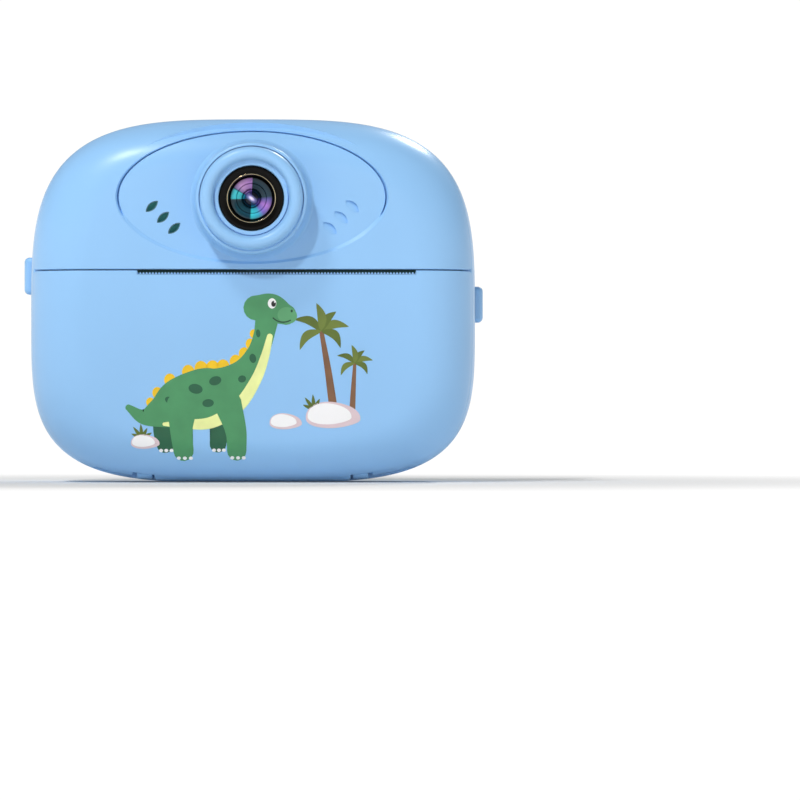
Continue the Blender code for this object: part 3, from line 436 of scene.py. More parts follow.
def turned(name, profile, middle, facing, material, steps=96):
    """A body turned round facing from a loop of (radius, height along facing)."""
    facing = Vector(facing)
    across = facing.orthogonal().normalized()
    other = facing.cross(across)
    points = []
    for radius, height in profile:
        for step in range(steps):
            turn = TAU * step / steps
            spoke = across * math.cos(turn) + other * math.sin(turn)
            points.append(tuple(Vector(middle) + facing * height + spoke * radius))
    return mesh_object(name, points, grid_faces(len(profile), steps), material)


def arc(middle, radius, start, end, count):
    """Points on a circle or ellipse arc; angles in degrees."""
    across, up = radius if isinstance(radius, tuple) else (radius, radius)
    points = []
    for i in range(count):
        turn = math.radians(start + (end - start) * i / (count - 1))
        points.append((middle[0] + across * math.cos(turn), middle[1] + up * math.sin(turn)))
    return points


def prism(name, outline, low, high, material=None, axis=1, edge=0.0):
    """A plate with a closed outline, between two depths along axis, its edges rounded by edge.

    The outline's two coordinates are the other two axes in X, Y, Z order."""
    shape = bmesh.new()
    others = [i for i in range(3) if i != axis]
    corners = []
    for point in outline:
        place = [0.0, 0.0, 0.0]
        place[others[0]], place[others[1]] = point
        place[axis] = low
        corners.append(shape.verts.new([value * MM for value in place]))
    face = shape.faces.new(corners)
    made = bmesh.ops.extrude_face_region(shape, geom=[face])
    moved = [item for item in made["geom"] if isinstance(item, bmesh.types.BMVert)]
    shift = Vector((0.0, 0.0, 0.0))
    shift[axis] = (high - low) * MM
    bmesh.ops.translate(shape, vec=shift, verts=moved)
    bmesh.ops.recalc_face_normals(shape, faces=shape.faces)
    if edge:
        rims = [item for item in shape.edges if len(item.link_faces) == 2]
        rims = [item for item in rims if abs(item.verts[0].co[axis] - item.verts[1].co[axis]) < 1e-9]
        bmesh.ops.bevel(shape, geom=rims, offset=edge * MM, segments=3, affect="EDGES", profile=0.5)
    return smooth(object_from(shape, name, material))


def rounded_box(name, low, high, edge, material=None, segments=3):
    shape = bmesh.new()
    bmesh.ops.create_cube(shape, size=1.0)
    size = (Vector(high) - Vector(low)) * MM
    bmesh.ops.scale(shape, vec=size, verts=shape.verts)
    bmesh.ops.translate(shape, vec=(Vector(high) + Vector(low)) / 2 * MM, verts=shape.verts)
    rims = shape.edges[:]
    bmesh.ops.bevel(shape, geom=rims, offset=edge * MM, segments=segments, affect="EDGES", profile=0.5)
    return smooth(object_from(shape, name, material))


def swung(middle, u, v, turn):
    """The point at (u, v) from the middle, swung round it by a turn."""
    across = u * math.cos(turn) - v * math.sin(turn)
    return middle[0] + across, middle[1] + u * math.sin(turn) + v * math.cos(turn)


def ellipse(middle, width, height, turn=0.0, count=64):
    angles = [TAU * step / count for step in range(count)]
    return [swung(middle, width / 2 * math.cos(a), height / 2 * math.sin(a), turn) for a in angles]


def leaf(middle, length, width, turn):
    """Two arcs that meet in a point at each end."""
    points = []
    for side in (1, -1):
        for step in range(12):
            share = step / 12
            v = side * width / 2 * math.sin(math.pi * share) ** 0.75
            points.append(swung(middle, side * length * (0.5 - share), v, turn))
    return points


def slot_outline(middle, width, height, radius, count=6):
    """Rectangle with round corners."""
    points = []
    for across, up, start in ((1, 1, 0), (-1, 1, 90), (-1, -1, 180), (1, -1, 270)):
        corner = (middle[0] + across * (width / 2 - radius), middle[1] + up * (height / 2 - radius))
        points += arc(corner, radius, start, start + 90, count)
    return points


def carve(obj, cutters, angle=35.0):
    """Cuts the closed cutters, which stay clear of each other, out of obj and removes them."""
    shape = bmesh.new()
    for cutter in cutters:
        shape.from_mesh(cutter.data)
    joined = object_from(shape, "carving", None)
    for cutter in cutters:
        bpy.data.objects.remove(cutter)
    change = obj.modifiers.new("carve", "BOOLEAN")
    change.operation = "DIFFERENCE"
    change.solver = "MANIFOLD"
    change.object = joined
    bpy.context.view_layer.update()
    graph = bpy.context.evaluated_depsgraph_get()
    mesh = bpy.data.meshes.new_from_object(obj.evaluated_get(graph))
    obj.modifiers.clear()
    obj.data = mesh
    bpy.data.objects.remove(joined)
    smooth(obj, angle)


def finish(obj, body, slot, *nodes):
    """Rides on the body and stands for the CAD nodes, which it hides; slot is not used."""
    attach(obj, body)
    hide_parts(*nodes)


# ---------------------------------------------------------------- the case's form


def outline_excess(x, z, inset_x, inset_z):
    """Below 0 inside the case outline pulled in by the insets, above 0 outside it."""
    above = z > WIDEST_Z
    height = np.where(above, RISE, DROP) - inset_z
    power = np.where(above, UPPER_POWER, LOWER_POWER)
    across = np.abs(x) / (HALF_WIDTH - inset_x)
    return across**power + (np.abs(z - WIDEST_Z) / height) ** power - 1


def solve(function, low, high):
    """Where the rising function of an array crosses 0, by halving."""
    low = np.array(low, float)
    high = np.array(high, float)
    for _ in range(44):
        middle = (low + high) / 2
        above = function(middle) > 0
        high = np.where(above, middle, high)
        low = np.where(above, low, middle)
    return (low + high) / 2


def front_share(x, z):
    """How far in from the outline a point is: 0 at the outline, 1 at the flat face's edge."""
    deepest = 0.98 * min(HALF_WIDTH / FRONT_INSET[0], DROP / FRONT_INSET[1])
    start = np.zeros(np.shape(x))
    return solve(
        lambda s: outline_excess(x, z, FRONT_INSET[0] * s, FRONT_INSET[1] * s),
        start,
        start + deepest,
    )


def step_up(value, low, high):
    share = np.clip((value - low) / (high - low), 0.0, 1.0)
    return share * share * (3 - 2 * share)


def front_surface(x, z):
    """Depth y of the case's smooth front over the point (x, z)."""
    share = front_share(x, z)
    rolled = np.clip(1 - share, 0.0, 1.0)
    roll = FRONT_ROLL * (1 - np.sqrt(1 - rolled**2))
    beyond = np.clip(share - 1, 0.0, None)
    return FRONT_Y + CROWN + roll - CROWN * (1 - np.exp(-beyond * beyond))


def eye_share(x, z):
    return np.hypot((x - EYE[0]) / EYE[2], (z - EYE[1]) / EYE[3])


def cover_surface(x, z):
    """The front with its shallow eye-shaped recess."""
    share = eye_share(x, z)
    upper = step_up(z, EYE[1] - 7.0, EYE[1] - 1.0)
    width = EYE_STEP * (1 + 2.4 * (1 - upper))
    inside = 1 - np.clip((share - 1 + width) / width, 0.0, 1.0)
    crease = np.exp(-np.square((share - 1 + EYE_STEP * 1.5) / (EYE_STEP * 0.32)))
    return front_surface(x, z) + EYE_DEPTH * inside + 1.1 * crease * step_up(upper, 0.2, 1.0)


def normals_of(surface, x, z):
    """Unit normals, pointing forwards, of a surface y(x, z)."""
    nudge = 0.02
    slope_x = (surface(x + nudge, z) - surface(x - nudge, z)) / (2 * nudge)
    slope_z = (surface(x, z + nudge) - surface(x, z - nudge)) / (2 * nudge)
    normal = np.stack([slope_x, -np.ones_like(slope_x), slope_z], axis=-1)
    return normal / np.linalg.norm(normal, axis=-1, keepdims=True)


def even_radii(surface, centre, angles, start, end, count):
    """Radii from start to end along each ray, evenly spaced over the surface."""
    share = 1 - (1 - np.linspace(0.0, 1.0, 300)) ** 2
    radii = start[:, None] + (end - start)[:, None] * share
    x = centre[0] + radii * np.cos(angles)[:, None]
    z = centre[1] + radii * np.sin(angles)[:, None]
    y = surface(x, z)
    run = np.hypot(np.diff(radii, axis=1), np.diff(y, axis=1))
    travel = np.concatenate([np.zeros((len(angles), 1)), np.cumsum(run, axis=1)], axis=1)
    wanted = np.linspace(0.0, 1.0, count)
    rows = [np.interp(wanted * t[-1], t, r) for t, r in zip(travel, radii)]
    return np.array(rows)


def seam_share():
    """Share of the front roll at which the surface meets the seam plane."""
    drop = (FRONT_Y + CROWN + FRONT_ROLL - SEAM_Y - HALF_SEAM) / FRONT_ROLL
    return 1 - math.sqrt(1 - drop**2)


def outline_reach(centre, angles, inset_x, inset_z):
    """Distance along each ray to the case outline pulled in by the insets."""

    def excess(r):
        x = centre[0] + r * np.cos(angles)
        return outline_excess(x, centre[1] + r * np.sin(angles), inset_x, inset_z)

    return solve(excess, np.zeros(len(angles)), np.full(len(angles), 120.0))


def even_angles(reach, centre, count):
    """Ray angles that are evenly spaced along the boundary that reach gives."""
    fine = np.linspace(-math.pi, math.pi, 4001)
    radius = reach(fine)
    x = centre[0] + radius * np.cos(fine)
    z = centre[1] + radius * np.sin(fine)
    travel = np.concatenate([[0.0], np.cumsum(np.hypot(np.diff(x), np.diff(z)))])
    return np.interp(np.linspace(0.0, travel[-1], count, endpoint=False), travel, fine)


def rounded_rim(rim, normal, away):
    """Loops from a sheet's rim round its edge and through the wall's thickness."""
    loops = []
    for turn in np.radians((22.5, 45.0, 67.5, 90.0)):
        loops.append(rim + EDGE * (away * math.sin(turn) - normal * (1 - math.cos(turn))))
    loops.append(loops[-1] - normal * (WALL - EDGE) * 0.5)
    loops.append(rim + EDGE * away - normal * WALL)
    return loops


def front_shell(name, centre, line_z, below, surface, zones, count, material):
    """A shell piece of the front: bounded by the parting line and by the seam.

    zones gives, for ray angles, a list of (radii, rings) from the middle outwards; the
    last stretch up to the boundary is added here."""

    share = seam_share()

    def seam_reach(angles):
        return outline_reach(centre, angles, FRONT_INSET[0] * share, FRONT_INSET[1] * share)

    def line_reach(angles):
        rise = np.sin(angles) * (-1.0 if below else 1.0)
        room = abs(line_z - centre[1]) - EDGE
        return np.where(rise > 1e-6, room / np.maximum(rise, 1e-6), 1e9)

    def reach(angles):
        return np.minimum(seam_reach(angles), line_reach(angles))

    angles = even_angles(reach, centre, count)
    outer = reach(angles)
    on_line = line_reach(angles) < seam_reach(angles)
    radii = []
    start = None
    for edge, rings in zones(angles):
        if start is not None:
            radii.append(even_radii(surface, centre, angles, start, edge, rings)[:, :-1])
        start = edge
    radii.append(even_radii(surface, centre, angles, start, outer, 46))
    radii = np.concatenate(radii, axis=1)
    x = centre[0] + radii * np.cos(angles)[:, None]
    z = centre[1] + radii * np.sin(angles)[:, None]
    sheet = np.stack([x, surface(x, z), z], axis=-1)
    normal = normals_of(surface, x, z)
    # Out of the sheet at its rim: down or up at the parting line, backwards at the seam.
    line_way = -UP if below else UP
    away = np.where(on_line[:, None], line_way, BACK)
    rim_normal = normal[:, -1]
    away = away - (away * rim_normal).sum(axis=1, keepdims=True) * rim_normal
    away /= np.linalg.norm(away, axis=1, keepdims=True)
    loops = [sheet[:, i] for i in range(sheet.shape[1])]
    loops += rounded_rim(sheet[:, -1], rim_normal, away)
    inner = sheet - normal * WALL
    loops += [inner[:, i] for i in range(sheet.shape[1] - 2, -1, -4)]
    loops.append(inner[:, 0])
    points = np.concatenate(loops)
    points[:, 2] = np.maximum(points[:, 2], 0.0)
    return mesh_object(name, points, grid_faces(len(loops), count), material)


def make_front_cover():
    """Upper front shell with the recess, the sound holes and the leaf marks."""
    centre = (0.0, LENS_Z)

    def zones(angles):
        def eye_reach(share):
            return solve(
                lambda r: eye_share(r * np.cos(angles), LENS_Z + r * np.sin(angles)) - share,
                np.zeros(len(angles)),
                np.full(len(angles), 60.0),
            )

        hole = np.full(len(angles), 8.0)
        return [(hole, 2), (eye_reach(1 - 4 * EYE_STEP), 22), (eye_reach(1.001), 24)]

    line = PARTING_Z + HALF_SEAM
    cover = front_shell("front_cover_shell", centre, line, True, cover_surface, zones, 560, blue)
    cutters = []
    for middle in MARK_MIDDLES:
        hole = leaf(middle, 3.7, 1.7, MARK_LEAN)
        cutters.append(prism("sound_hole", hole, FRONT_Y - 2, FRONT_Y + 4))
        cutters.append(dimple((-middle[0], middle[1]), -MARK_LEAN))
    carve(cover, cutters)
    finish(cover, "case", "case_blue", "front_cover")
    # A ring round each hole's wall in painted shade, darker than the case.
    for i, middle in enumerate(MARK_MIDDLES):
        front = cover_depth(middle) + 0.12
        rim = leaf(middle, 3.68, 1.68, MARK_LEAN)
        liner = prism(f"sound_hole_liner_{i + 1}", rim, front, front + 0.9, painted_hole_shade)
        carve(liner, [prism("liner_bore", leaf(middle, 3.1, 1.26, MARK_LEAN), front - 2, front + 3)])
        finish(liner, "case", "case_blue", "front_cover")


def cover_depth(place):
    """Depth y of the cover at one (x, z) place."""
    return float(cover_surface(np.array([place[0]]), np.array([place[1]]))[0])


def dimple(middle, lean):
    """Cutter for a leaf mark: its floor is deep along the upper edge and runs out at the lower."""
    outline = leaf(middle, 3.9, 2.0, lean)
    surface = cover_surface(np.array([x for x, _ in outline]), np.array([z for _, z in outline]))
    points = []
    for (x, z), y in zip(outline, surface):
        across = (z - middle[1]) * math.cos(lean) - (x - middle[0]) * math.sin(lean)
        points.append((x, y + DIMPLE_SLOPE * (across + DIMPLE_HALF), z))
    count = len(outline)
    points += [(x, float(surface.min()) - 1.5, z) for x, z in outline]
    points.append((middle[0], cover_depth(middle) + DIMPLE_SLOPE * DIMPLE_HALF, middle[1]))
    faces = [tuple(range(count, 2 * count))]
    for i in range(count):
        after = (i + 1) % count
        faces.append((i, after, count + after, count + i))
        faces.append((i, after, 2 * count))
    return mesh_object("leaf_mark", points, faces, None)


def make_paper_door():
    """Lower front shell, with the notch under the tear bar and the hinge barrel."""
    centre = (0.0, 22.0)

    def zones(angles):
        return [(np.full(len(angles), 0.4), 2)]

    line = PARTING_Z - HALF_SEAM
    door = front_shell("paper_door_shell", centre, line, False, front_surface, zones, 520, blue)
    exit_x = ((TEAR_LOW.x + TEAR_HIGH.x) / 2, TEAR_HIGH.x - TEAR_LOW.x + 0.14)
    cutters = [rounded_box("exit", *span(*exit_x, -30.0, -13.0, TEAR_LOW.z - 0.05, 60.0), 0.02)]
    for side in (-1, 1):
        middle = side * (HINGE_HALF + 2.5)
        cutters.append(rounded_box("ear_notch", *span(middle, 5.0, -11.7, 0.0, -5.0, 8.0), 0.3))
    carve(door, cutters)
    barrel = prism("door_barrel", ellipse(HINGE, 5.2, 5.2), -HINGE_HALF, HINGE_HALF, blue, 0, 0.35)
    carve(barrel, [prism("bore", ellipse(HINGE, 2.6, 2.6, 0.0, 32), -60.0, 60.0, None, 0)])
    finish(door, "door", "case_blue", "paper_door")
    finish(barrel, "door", "case_blue", "paper_door")


def span(middle, width, low_y, high_y, low_z, high_z):
    """The two corners of a box centred on x = middle."""
    return (middle - width / 2, low_y, low_z), (middle + width / 2, high_y, high_z)


def make_barrel():
    """Flared collar: flat ring, rounded rim, crease, shoulder, and a foot that runs out on the
    curved cover."""
    steps = 160
    angles = np.linspace(0.0, TAU, steps, endpoint=False)
    foot_radius = 13.9
    ring_y = BARREL_LOW.y + 1.9
    above = step_up(np.sin(angles), -0.45, 0.15)
    inner = 0.5 * (1 - step_up(np.sin(angles), -0.1, 0.5))
    outer = 0.2 + 0.75 * above
    front = [(7.3, ring_y + 5.0), (7.3, ring_y + 0.2), (7.45, ring_y)]
    front += [(8.16, ring_y), (8.24, ring_y + inner), (8.32, ring_y + inner), (8.4, ring_y - 0.02)]
    torus = np.linspace(0.1, math.pi - 0.1, 21)
    front += [(9.98 - 1.54 * math.cos(a), ring_y - 0.1 - 1.8 * math.sin(a)) for a in torus]
    front += [(11.52, ring_y + 0.1), (11.57, ring_y + outer), (11.66, ring_y + outer), (11.72, ring_y + 0.1)]
    quarter = np.linspace(0.0, math.pi / 2, 7)
    front += [(11.82 + 0.6 * math.sin(a), ring_y + 0.7 - 0.62 * math.cos(a)) for a in quarter]
    loops = [ring_at(r, y, angles) for r, y in front]
    foot_y = cover_surface(foot_radius * np.cos(angles), LENS_Z + foot_radius * np.sin(angles)) + 0.05
    shoulder_y = ring_y + 1.3
    for share in np.linspace(0.08, 1.0, 14):
        radius = 12.4 + (foot_radius - 12.4) * share**2.4
        loops.append(ring_at(radius, shoulder_y + (foot_y - shoulder_y) * (1 - (1 - share) ** 1.5), angles))
    for radius, back in ((foot_radius - 0.2, 1.0), (9.0, 1.2)):
        y = cover_surface(radius * np.cos(angles), LENS_Z + radius * np.sin(angles)) + back
        loops.append(ring_at(radius, y, angles))
    points = np.concatenate(loops)
    barrel = mesh_object("lens_collar", points, grid_faces(len(loops), steps), blue, 50.0)
    finish(barrel, "case", "case_blue", "lens_barrel")


def ring_at(radius, y, angles):
    """A circle round the lens axis, at one depth or at a depth for each angle."""
    depth = np.broadcast_to(y, angles.shape)
    return np.stack([radius * np.cos(angles), depth, LENS_Z + radius * np.sin(angles)], axis=-1)


# ---------------------------------------------------------------- rear shell


def panel_reach(angles, grow):
    """Distance from the panel's middle to its outline, grown by a margin."""
    across = np.abs(np.cos(angles)) / (PANEL_HALF[0] + grow)
    up = np.abs(np.sin(angles)) / (PANEL_HALF[1] + grow)
    return (across**PANEL_POWER + up**PANEL_POWER) ** (-1 / PANEL_POWER)


def case_reach(angles, inset_x, inset_z):
    return outline_reach(PANEL_MIDDLE, angles, inset_x, inset_z)


def scoop(x, y, z):
    """Lowers the rim into the bell-shaped hollow round the second camera."""
    above = z > SELFIE_Z
    flare = SCOOP_RADIUS + 0.078 * np.square(np.minimum(z - SELFIE_Z, 0.0))
    reach = np.where(above, SCOOP_RADIUS - np.hypot(x, z - SELFIE_Z), flare - np.abs(x))
    reach = np.where(z > PANEL_HIGH.z + 1.2, reach, -1.0)
    return y - step_up(reach, 0.0, 0.7) * np.maximum(y - SCOOP_Y, 0.0)


def rear_angles():
    """Ray angles, closer together at the hollow and at the panel's corners."""
    fine = np.linspace(-math.pi, math.pi, 7201)
    corner = math.atan2(PANEL_HALF[1], PANEL_HALF[0])
    density = 1.0 + 3.0 * np.exp(-np.square((fine - math.pi / 2) / 0.13))
    for turn in (corner, math.pi - corner, -corner, corner - math.pi):
        density += 2.0 * np.exp(-np.square((fine - turn) / 0.09))
    travel = np.cumsum(density)
    return np.interp(np.linspace(travel[0], travel[-1], 560, endpoint=False), travel, fine)


def rear_rings(angles):
    """(radius, y) of each ring from the seam round the outside to the seam's inner edge."""
    roll_y = REAR_Y - REAR_ROLL
    seam = SEAM_Y + HALF_SEAM
    front_roll = FRONT_Y + CROWN + FRONT_ROLL
    rings = []

    def on_side(y, thickness):
        rolled = min(max((front_roll - y) / FRONT_ROLL, 0.0), 1.0)
        share = 1 - math.sqrt(1 - rolled**2)
        return case_reach(angles, FRONT_INSET[0] * share + thickness, FRONT_INSET[1] * share + thickness)

    for turn in np.radians((0.0, 30.0, 60.0, 90.0)):
        y = seam + EDGE * (1 - math.sin(turn))
        rings.append((on_side(y, EDGE * (1 - math.cos(turn))), y))
    rings.reverse()
    for y in np.concatenate([np.linspace(seam + 0.8, front_roll, 3), np.linspace(-2.0, roll_y, 8)]):
        rings.append((on_side(y, 0.0), y))
    for turn in np.linspace(0.0, math.pi / 2, 24)[1:]:
        share = 1 - math.cos(turn)
        reach = case_reach(angles, REAR_INSET[0] * share, REAR_INSET[1] * share)
        rings.append((reach, roll_y + REAR_ROLL * math.sin(turn)))
    crest = rings[-1][0]
    groove = panel_reach(angles, 1.15)
    for share in np.linspace(0.0, 1.0, 24)[1:]:
        rings.append((crest + (groove - crest) * share, REAR_Y - 0.95 * share**1.8))
    for turn in np.linspace(0.12, math.pi, 11):
        lip = panel_reach(angles, 0.7 + 0.45 * math.cos(turn))
        rings.append((lip, REAR_Y - 0.92 + 0.42 * math.sin(turn)))
    floor = PANEL_LOW.y - 0.3
    for grow, y in ((0.25, floor + 0.2), (0.18, floor + 0.05), (0.05, floor), (-0.4, floor)):
        rings.append((panel_reach(angles, grow), y))
    rings.append((panel_reach(angles, -0.4), floor - 1.5))
    rings.append((panel_reach(angles, 0.6), floor - 1.5))
    for turn in np.linspace(math.radians(60.0), 0.0, 8):
        share = 1 - math.cos(turn)
        reach = case_reach(angles, WALL + REAR_INSET[0] * share, WALL + REAR_INSET[1] * share)
        rings.append((reach, roll_y + (REAR_ROLL - WALL) * math.sin(turn)))
    rings.append((on_side(seam, WALL), seam))
    return rings


def make_rear_shell():
    """Back of the case: side wall, rolled rim, groove and lip round the panel, and pocket."""
    angles = rear_angles()
    loops = []
    for reach, y in rear_rings(angles):
        x = PANEL_MIDDLE[0] + reach * np.cos(angles)
        z = np.maximum(PANEL_MIDDLE[1] + reach * np.sin(angles), 0.0)
        depth = np.broadcast_to(y, x.shape)
        if y > REAR_Y - 3.0:
            depth = scoop(x, depth, z)
        loops.append(np.stack([x, depth, z], axis=-1))
    points = np.concatenate(loops)
    shell = mesh_object("rear_shell_skin", points, grid_faces(len(loops), len(angles)), blue, 40.0)
    cutters = [prism("selfie_hole", ellipse((0.0, SELFIE_Z), 5.4, 5.4), 20.0, 30.0)]
    notch = span(0.0, 74.0, SEAM_Y - 5.0, -6.0, -5.0, HINGE[1] + 0.3)
    cutters.append(rounded_box("hinge_notch", *notch, 0.2))
    for name, middle, size, radius, side in side_openings():
        reach = (40.0, 60.0) if side > 0 else (-60.0, -40.0)
        cutters.append(prism(name, slot_outline(middle, *size, radius), *reach, None, 0))
    carve(shell, cutters, 40.0)
    finish(shell, "case", "case_blue", "rear_shell")


def make_hinge_ears():
    """The two ears that hold the ends of the door's hinge pin."""
    for side in (-1, 1):
        outline = arc(HINGE, 2.3, 90.0, 270.0, 20) + [(-3.0, 0.9), (-3.0, 5.1)]
        inner, outer = sorted((side * (HINGE_HALF + 0.5), side * (HINGE_HALF + 4.0)))
        name = "hinge_ear_left" if side < 0 else "hinge_ear_right"
        finish(prism(name, outline, inner, outer, blue, 0, 0.3), "case", "case_blue", "rear_shell")


def make_screw_bosses():
    """Four hollow posts inside the shell, two low and two high."""
    for side, height in ((-1, 14.0), (1, 14.0), (-1, 67.0), (1, 67.0)):
        x = side * (40.5 if height < WIDEST_Z else 30.0)
        level = "low" if height < WIDEST_Z else "high"
        name = f"screw_boss_{level}_{'left' if side < 0 else 'right'}"
        profile = [(2.6, 15.8), (2.7, 20.5), (3.1, 21.0), (1.05, 21.0), (1.05, 15.8)]
        boss = turned(name, profile, (x, 0.0, height), (0.0, 1.0, 0.0), blue, 32)
        finish(boss, "case", "case_blue", "rear_shell")


def side_openings():
    """Name, (y, z) middle, size, corner radius and side of each opening in the side wall."""
    rows = []
    for name, node, margin, radius, side in (
        ("latch_window", "latch_button", 0.3, 1.3, 1),
        ("strap_window", "strap_lug", 0.3, 1.3, -1),
        ("usb_window", "usb_port", 0.45, 1.8, -1),
    ):
        low, high = frame_box(node)
        if name == "latch_window":
            low, high = Vector((0.0, TAB_Y[0], TAB_Z[0])), Vector((0.0, TAB_Y[1], TAB_Z[1]))
        middle = middle_of(low, high, "yz")
        size = (high.y - low.y + 2 * margin, high.z - low.z + 2 * margin)
        rows.append((name, middle, size, min(radius, size[0] / 2 - 0.01), side))
    card_low, card_high = frame_box("memory_card")
    card_z = (card_low.z + card_high.z) / 2
    rows.append(("card_window", (PORT_Y, card_z), (1.6, 11.8), 0.3, -1))
    rows.append(("reset_hole", (PORT_Y, 42.2), (1.0, 1.0), 0.499, -1))
    rows.append(("notch_hole", (PORT_Y, 17.4), (1.2, 1.2), 0.599, -1))
    return rows


def make_strap_bar():
    """Bar in the -X wall, with the gap behind it that a cord goes through."""
    low, high = frame_box("strap_lug")
    lug = rounded_box("strap_bar", low, high, 1.1, blue, 5)
    cord_gap = slot_outline((-49.0, (low.z + high.z) / 2), 2.3, high.z - low.z - 3.6, 0.8)
    carve(lug, [prism("cord_gap", cord_gap, -10.0, 20.0, None, 1)], 40.0)
    finish(lug, "case", "case_blue", "strap_lug")


def make_release_tab():
    """The door's release: a grooved tab, its flange behind the wall and its arm."""
    low, high = frame_box("latch_button")
    tab_low, tab_high = (TAB_X, TAB_Y[0], TAB_Z[0]), (high.x, TAB_Y[1], TAB_Z[1])
    tab = rounded_box("latch_tab", tab_low, tab_high, 1.1, blue, 5)
    grips = []
    for i in range(4):
        groove = slot_outline((sum(TAB_Y) / 2 + 1.7 * (i - 1.5), sum(TAB_Z) / 2), 0.5, 4.6, 0.24)
        grips.append(prism("grip", groove, high.x - 0.25, high.x + 1.0, None, 0))
    carve(tab, grips, 40.0)
    flange_low = (TAB_X - 0.7, TAB_Y[0] - 1.0, TAB_Z[0] - 1.5)
    flange_high = (TAB_X + 0.5, TAB_Y[1] + 1.5, TAB_Z[1] + 1.5)
    flange = rounded_box("latch_flange", flange_low, flange_high, 0.3, blue)
    arm = rounded_box("latch_arm", (43.4, low.y, 38.5), (46.6, 3.0, 41.5), 0.4, blue)
    for piece in (tab, flange, arm):
        finish(piece, "latch", "case_blue", "latch_button")


def make_ports():
    """The USB socket's metal shell and tongue, and the memory card."""
    low, high = frame_box("usb_port")
    middle = middle_of(low, high, "yz")
    size = (high.y - low.y, high.z - low.z)
    socket = prism("usb_shell", slot_outline(middle, *size, 1.38, 8), low.x, high.x, metal, 0, 0.12)
    mouth = slot_outline(middle, size[0] - 0.7, size[1] - 0.7, 1.04, 8)
    carve(socket, [prism("mouth", mouth, low.x - 1.0, high.x - 0.6, None, 0)], 40.0)
    finish(socket, "case", "steel", "usb_port")
    tongue = prism("usb_tongue", slot_outline(middle, 0.7, 6.6, 0.2), low.x + 0.8, high.x, black, 0, 0.1)
    finish(tongue, "case", "black_plastic", "usb_port")
    low, high = frame_box("memory_card")
    finish(rounded_box("memory_card_body", low, high, 0.22, black), "card", "black_plastic", "memory_card")


# ---------------------------------------------------------------- panel, screen and buttons

# Of each button: middle (x, z), width and height, and the way it leans.
BUTTONS = {
    "shutter": ((-32.8, 55.0), (9.3, 11.8), 0.0),
    "power": ((-32.6, 20.5), (9.3, 11.8), 0.0),
    "print": ((-28.5, 42.4), (6.8, 7.9), -1),
    "up": ((-36.8, 42.4), (6.8, 7.9), 1),
    "album": ((-28.5, 33.1), (6.8, 7.9), 1),
    "down": ((-36.8, 33.1), (6.8, 7.9), -1),
}


def band(path, widths, cap_points):
    """Outline of a line of the given widths with round ends; it turns gently at each point."""
    along = np.gradient(path, axis=0)
    along /= np.linalg.norm(along, axis=1, keepdims=True)
    side = np.stack([-along[:, 1], along[:, 0]], axis=1) * widths[:, None] / 2
    outline = []
    for run, edge, width in ((path, side, widths[-1]), (path[::-1], -side[::-1], widths[0])):
        outline += list(run + edge)
        start = math.degrees(math.atan2(edge[-1][1], edge[-1][0]))
        outline += arc(run[-1], width / 2, start, start - 180, cap_points)[1:-1]
    return [(float(x), float(z)) for x, z in outline]


def stroke(points, width):
    return band(np.array(points, float), np.full(len(points), width), 7)


def dense(points):
    """Points added along straight runs, so that a stroke keeps its width round a corner."""
    path = [points[0]]
    for start, end in zip(points, points[1:]):
        count = max(int(math.dist(start, end) / 0.22), 1)
        for i in range(1, count + 1):
            share = i / count
            path.append((start[0] + (end[0] - start[0]) * share, start[1] + (end[1] - start[1]) * share))
    return path


def icon_lines(name):
    """Lines of each button's mark, in millimetres from its middle, as seen from behind."""
    rounded_frame = arc((1.05, 0.95), 0.5, 0, 90, 4) + arc((-1.05, 0.95), 0.5, 90, 180, 4)
    rounded_frame += arc((-1.05, -0.95), 0.5, 180, 270, 4) + arc((1.05, -0.95), 0.5, 270, 350, 4)
    rounded_frame += [(1.55, 0.6)]
    camera_right = [(1.3, 2.9), (2.3, 2.9), (2.3, 0.6)]
    hills = [(-1.0, -0.75), (-0.3, 0.2), (0.25, -0.45), (0.6, -0.1), (1.0, -0.75)]
    marks = {
        "shutter": [
            dense([(-2.2, 0.6), (-2.2, 2.9), (-1.1, 2.9), (-0.7, 3.6), (0.9, 3.6), *camera_right]),
            arc((0.0, 1.75), 0.95, 200, 480, 16),
            dense([(-2.2, -0.15), (2.3, -0.15)]),
            arc((-1.25, -2.2), (0.85, 1.1), 90, 440, 22),
            dense([(0.55, -1.1), (0.55, -3.3)]),
            dense([(2.15, -1.1), (1.05, -2.2), (2.15, -3.3)]),
        ],
        "power": [
            arc((0.0, 2.3), 1.45, 130, 410, 24),
            dense([(0.0, 2.5), (0.0, 4.1)]),
            dense([(-1.9, -0.1), (1.9, -0.1)]),
            dense([(1.5, -1.2), (-1.0, -1.2), (-1.7, -1.9), (-1.0, -2.6), (1.0, -2.6)]),
        ],
        "print": [
            dense([(-1.6, -0.9), (-1.6, 0.4), (1.6, 0.4), (1.6, -0.9)]),
            dense([(-0.9, 1.0), (-0.9, 1.6), (0.9, 1.6), (0.9, 1.0)]),
            dense([(-0.9, -0.3), (-0.9, -1.6), (0.9, -1.6), (0.9, -0.3)]),
        ],
        "up": [dense([(-1.35, -0.55), (0.0, 0.8), (1.35, -0.55)])],
        "album": [rounded_frame, dense(hills)],
        "down": [dense([(-1.25, 0.0), (1.25, 0.0)])],
    }
    return marks[name]


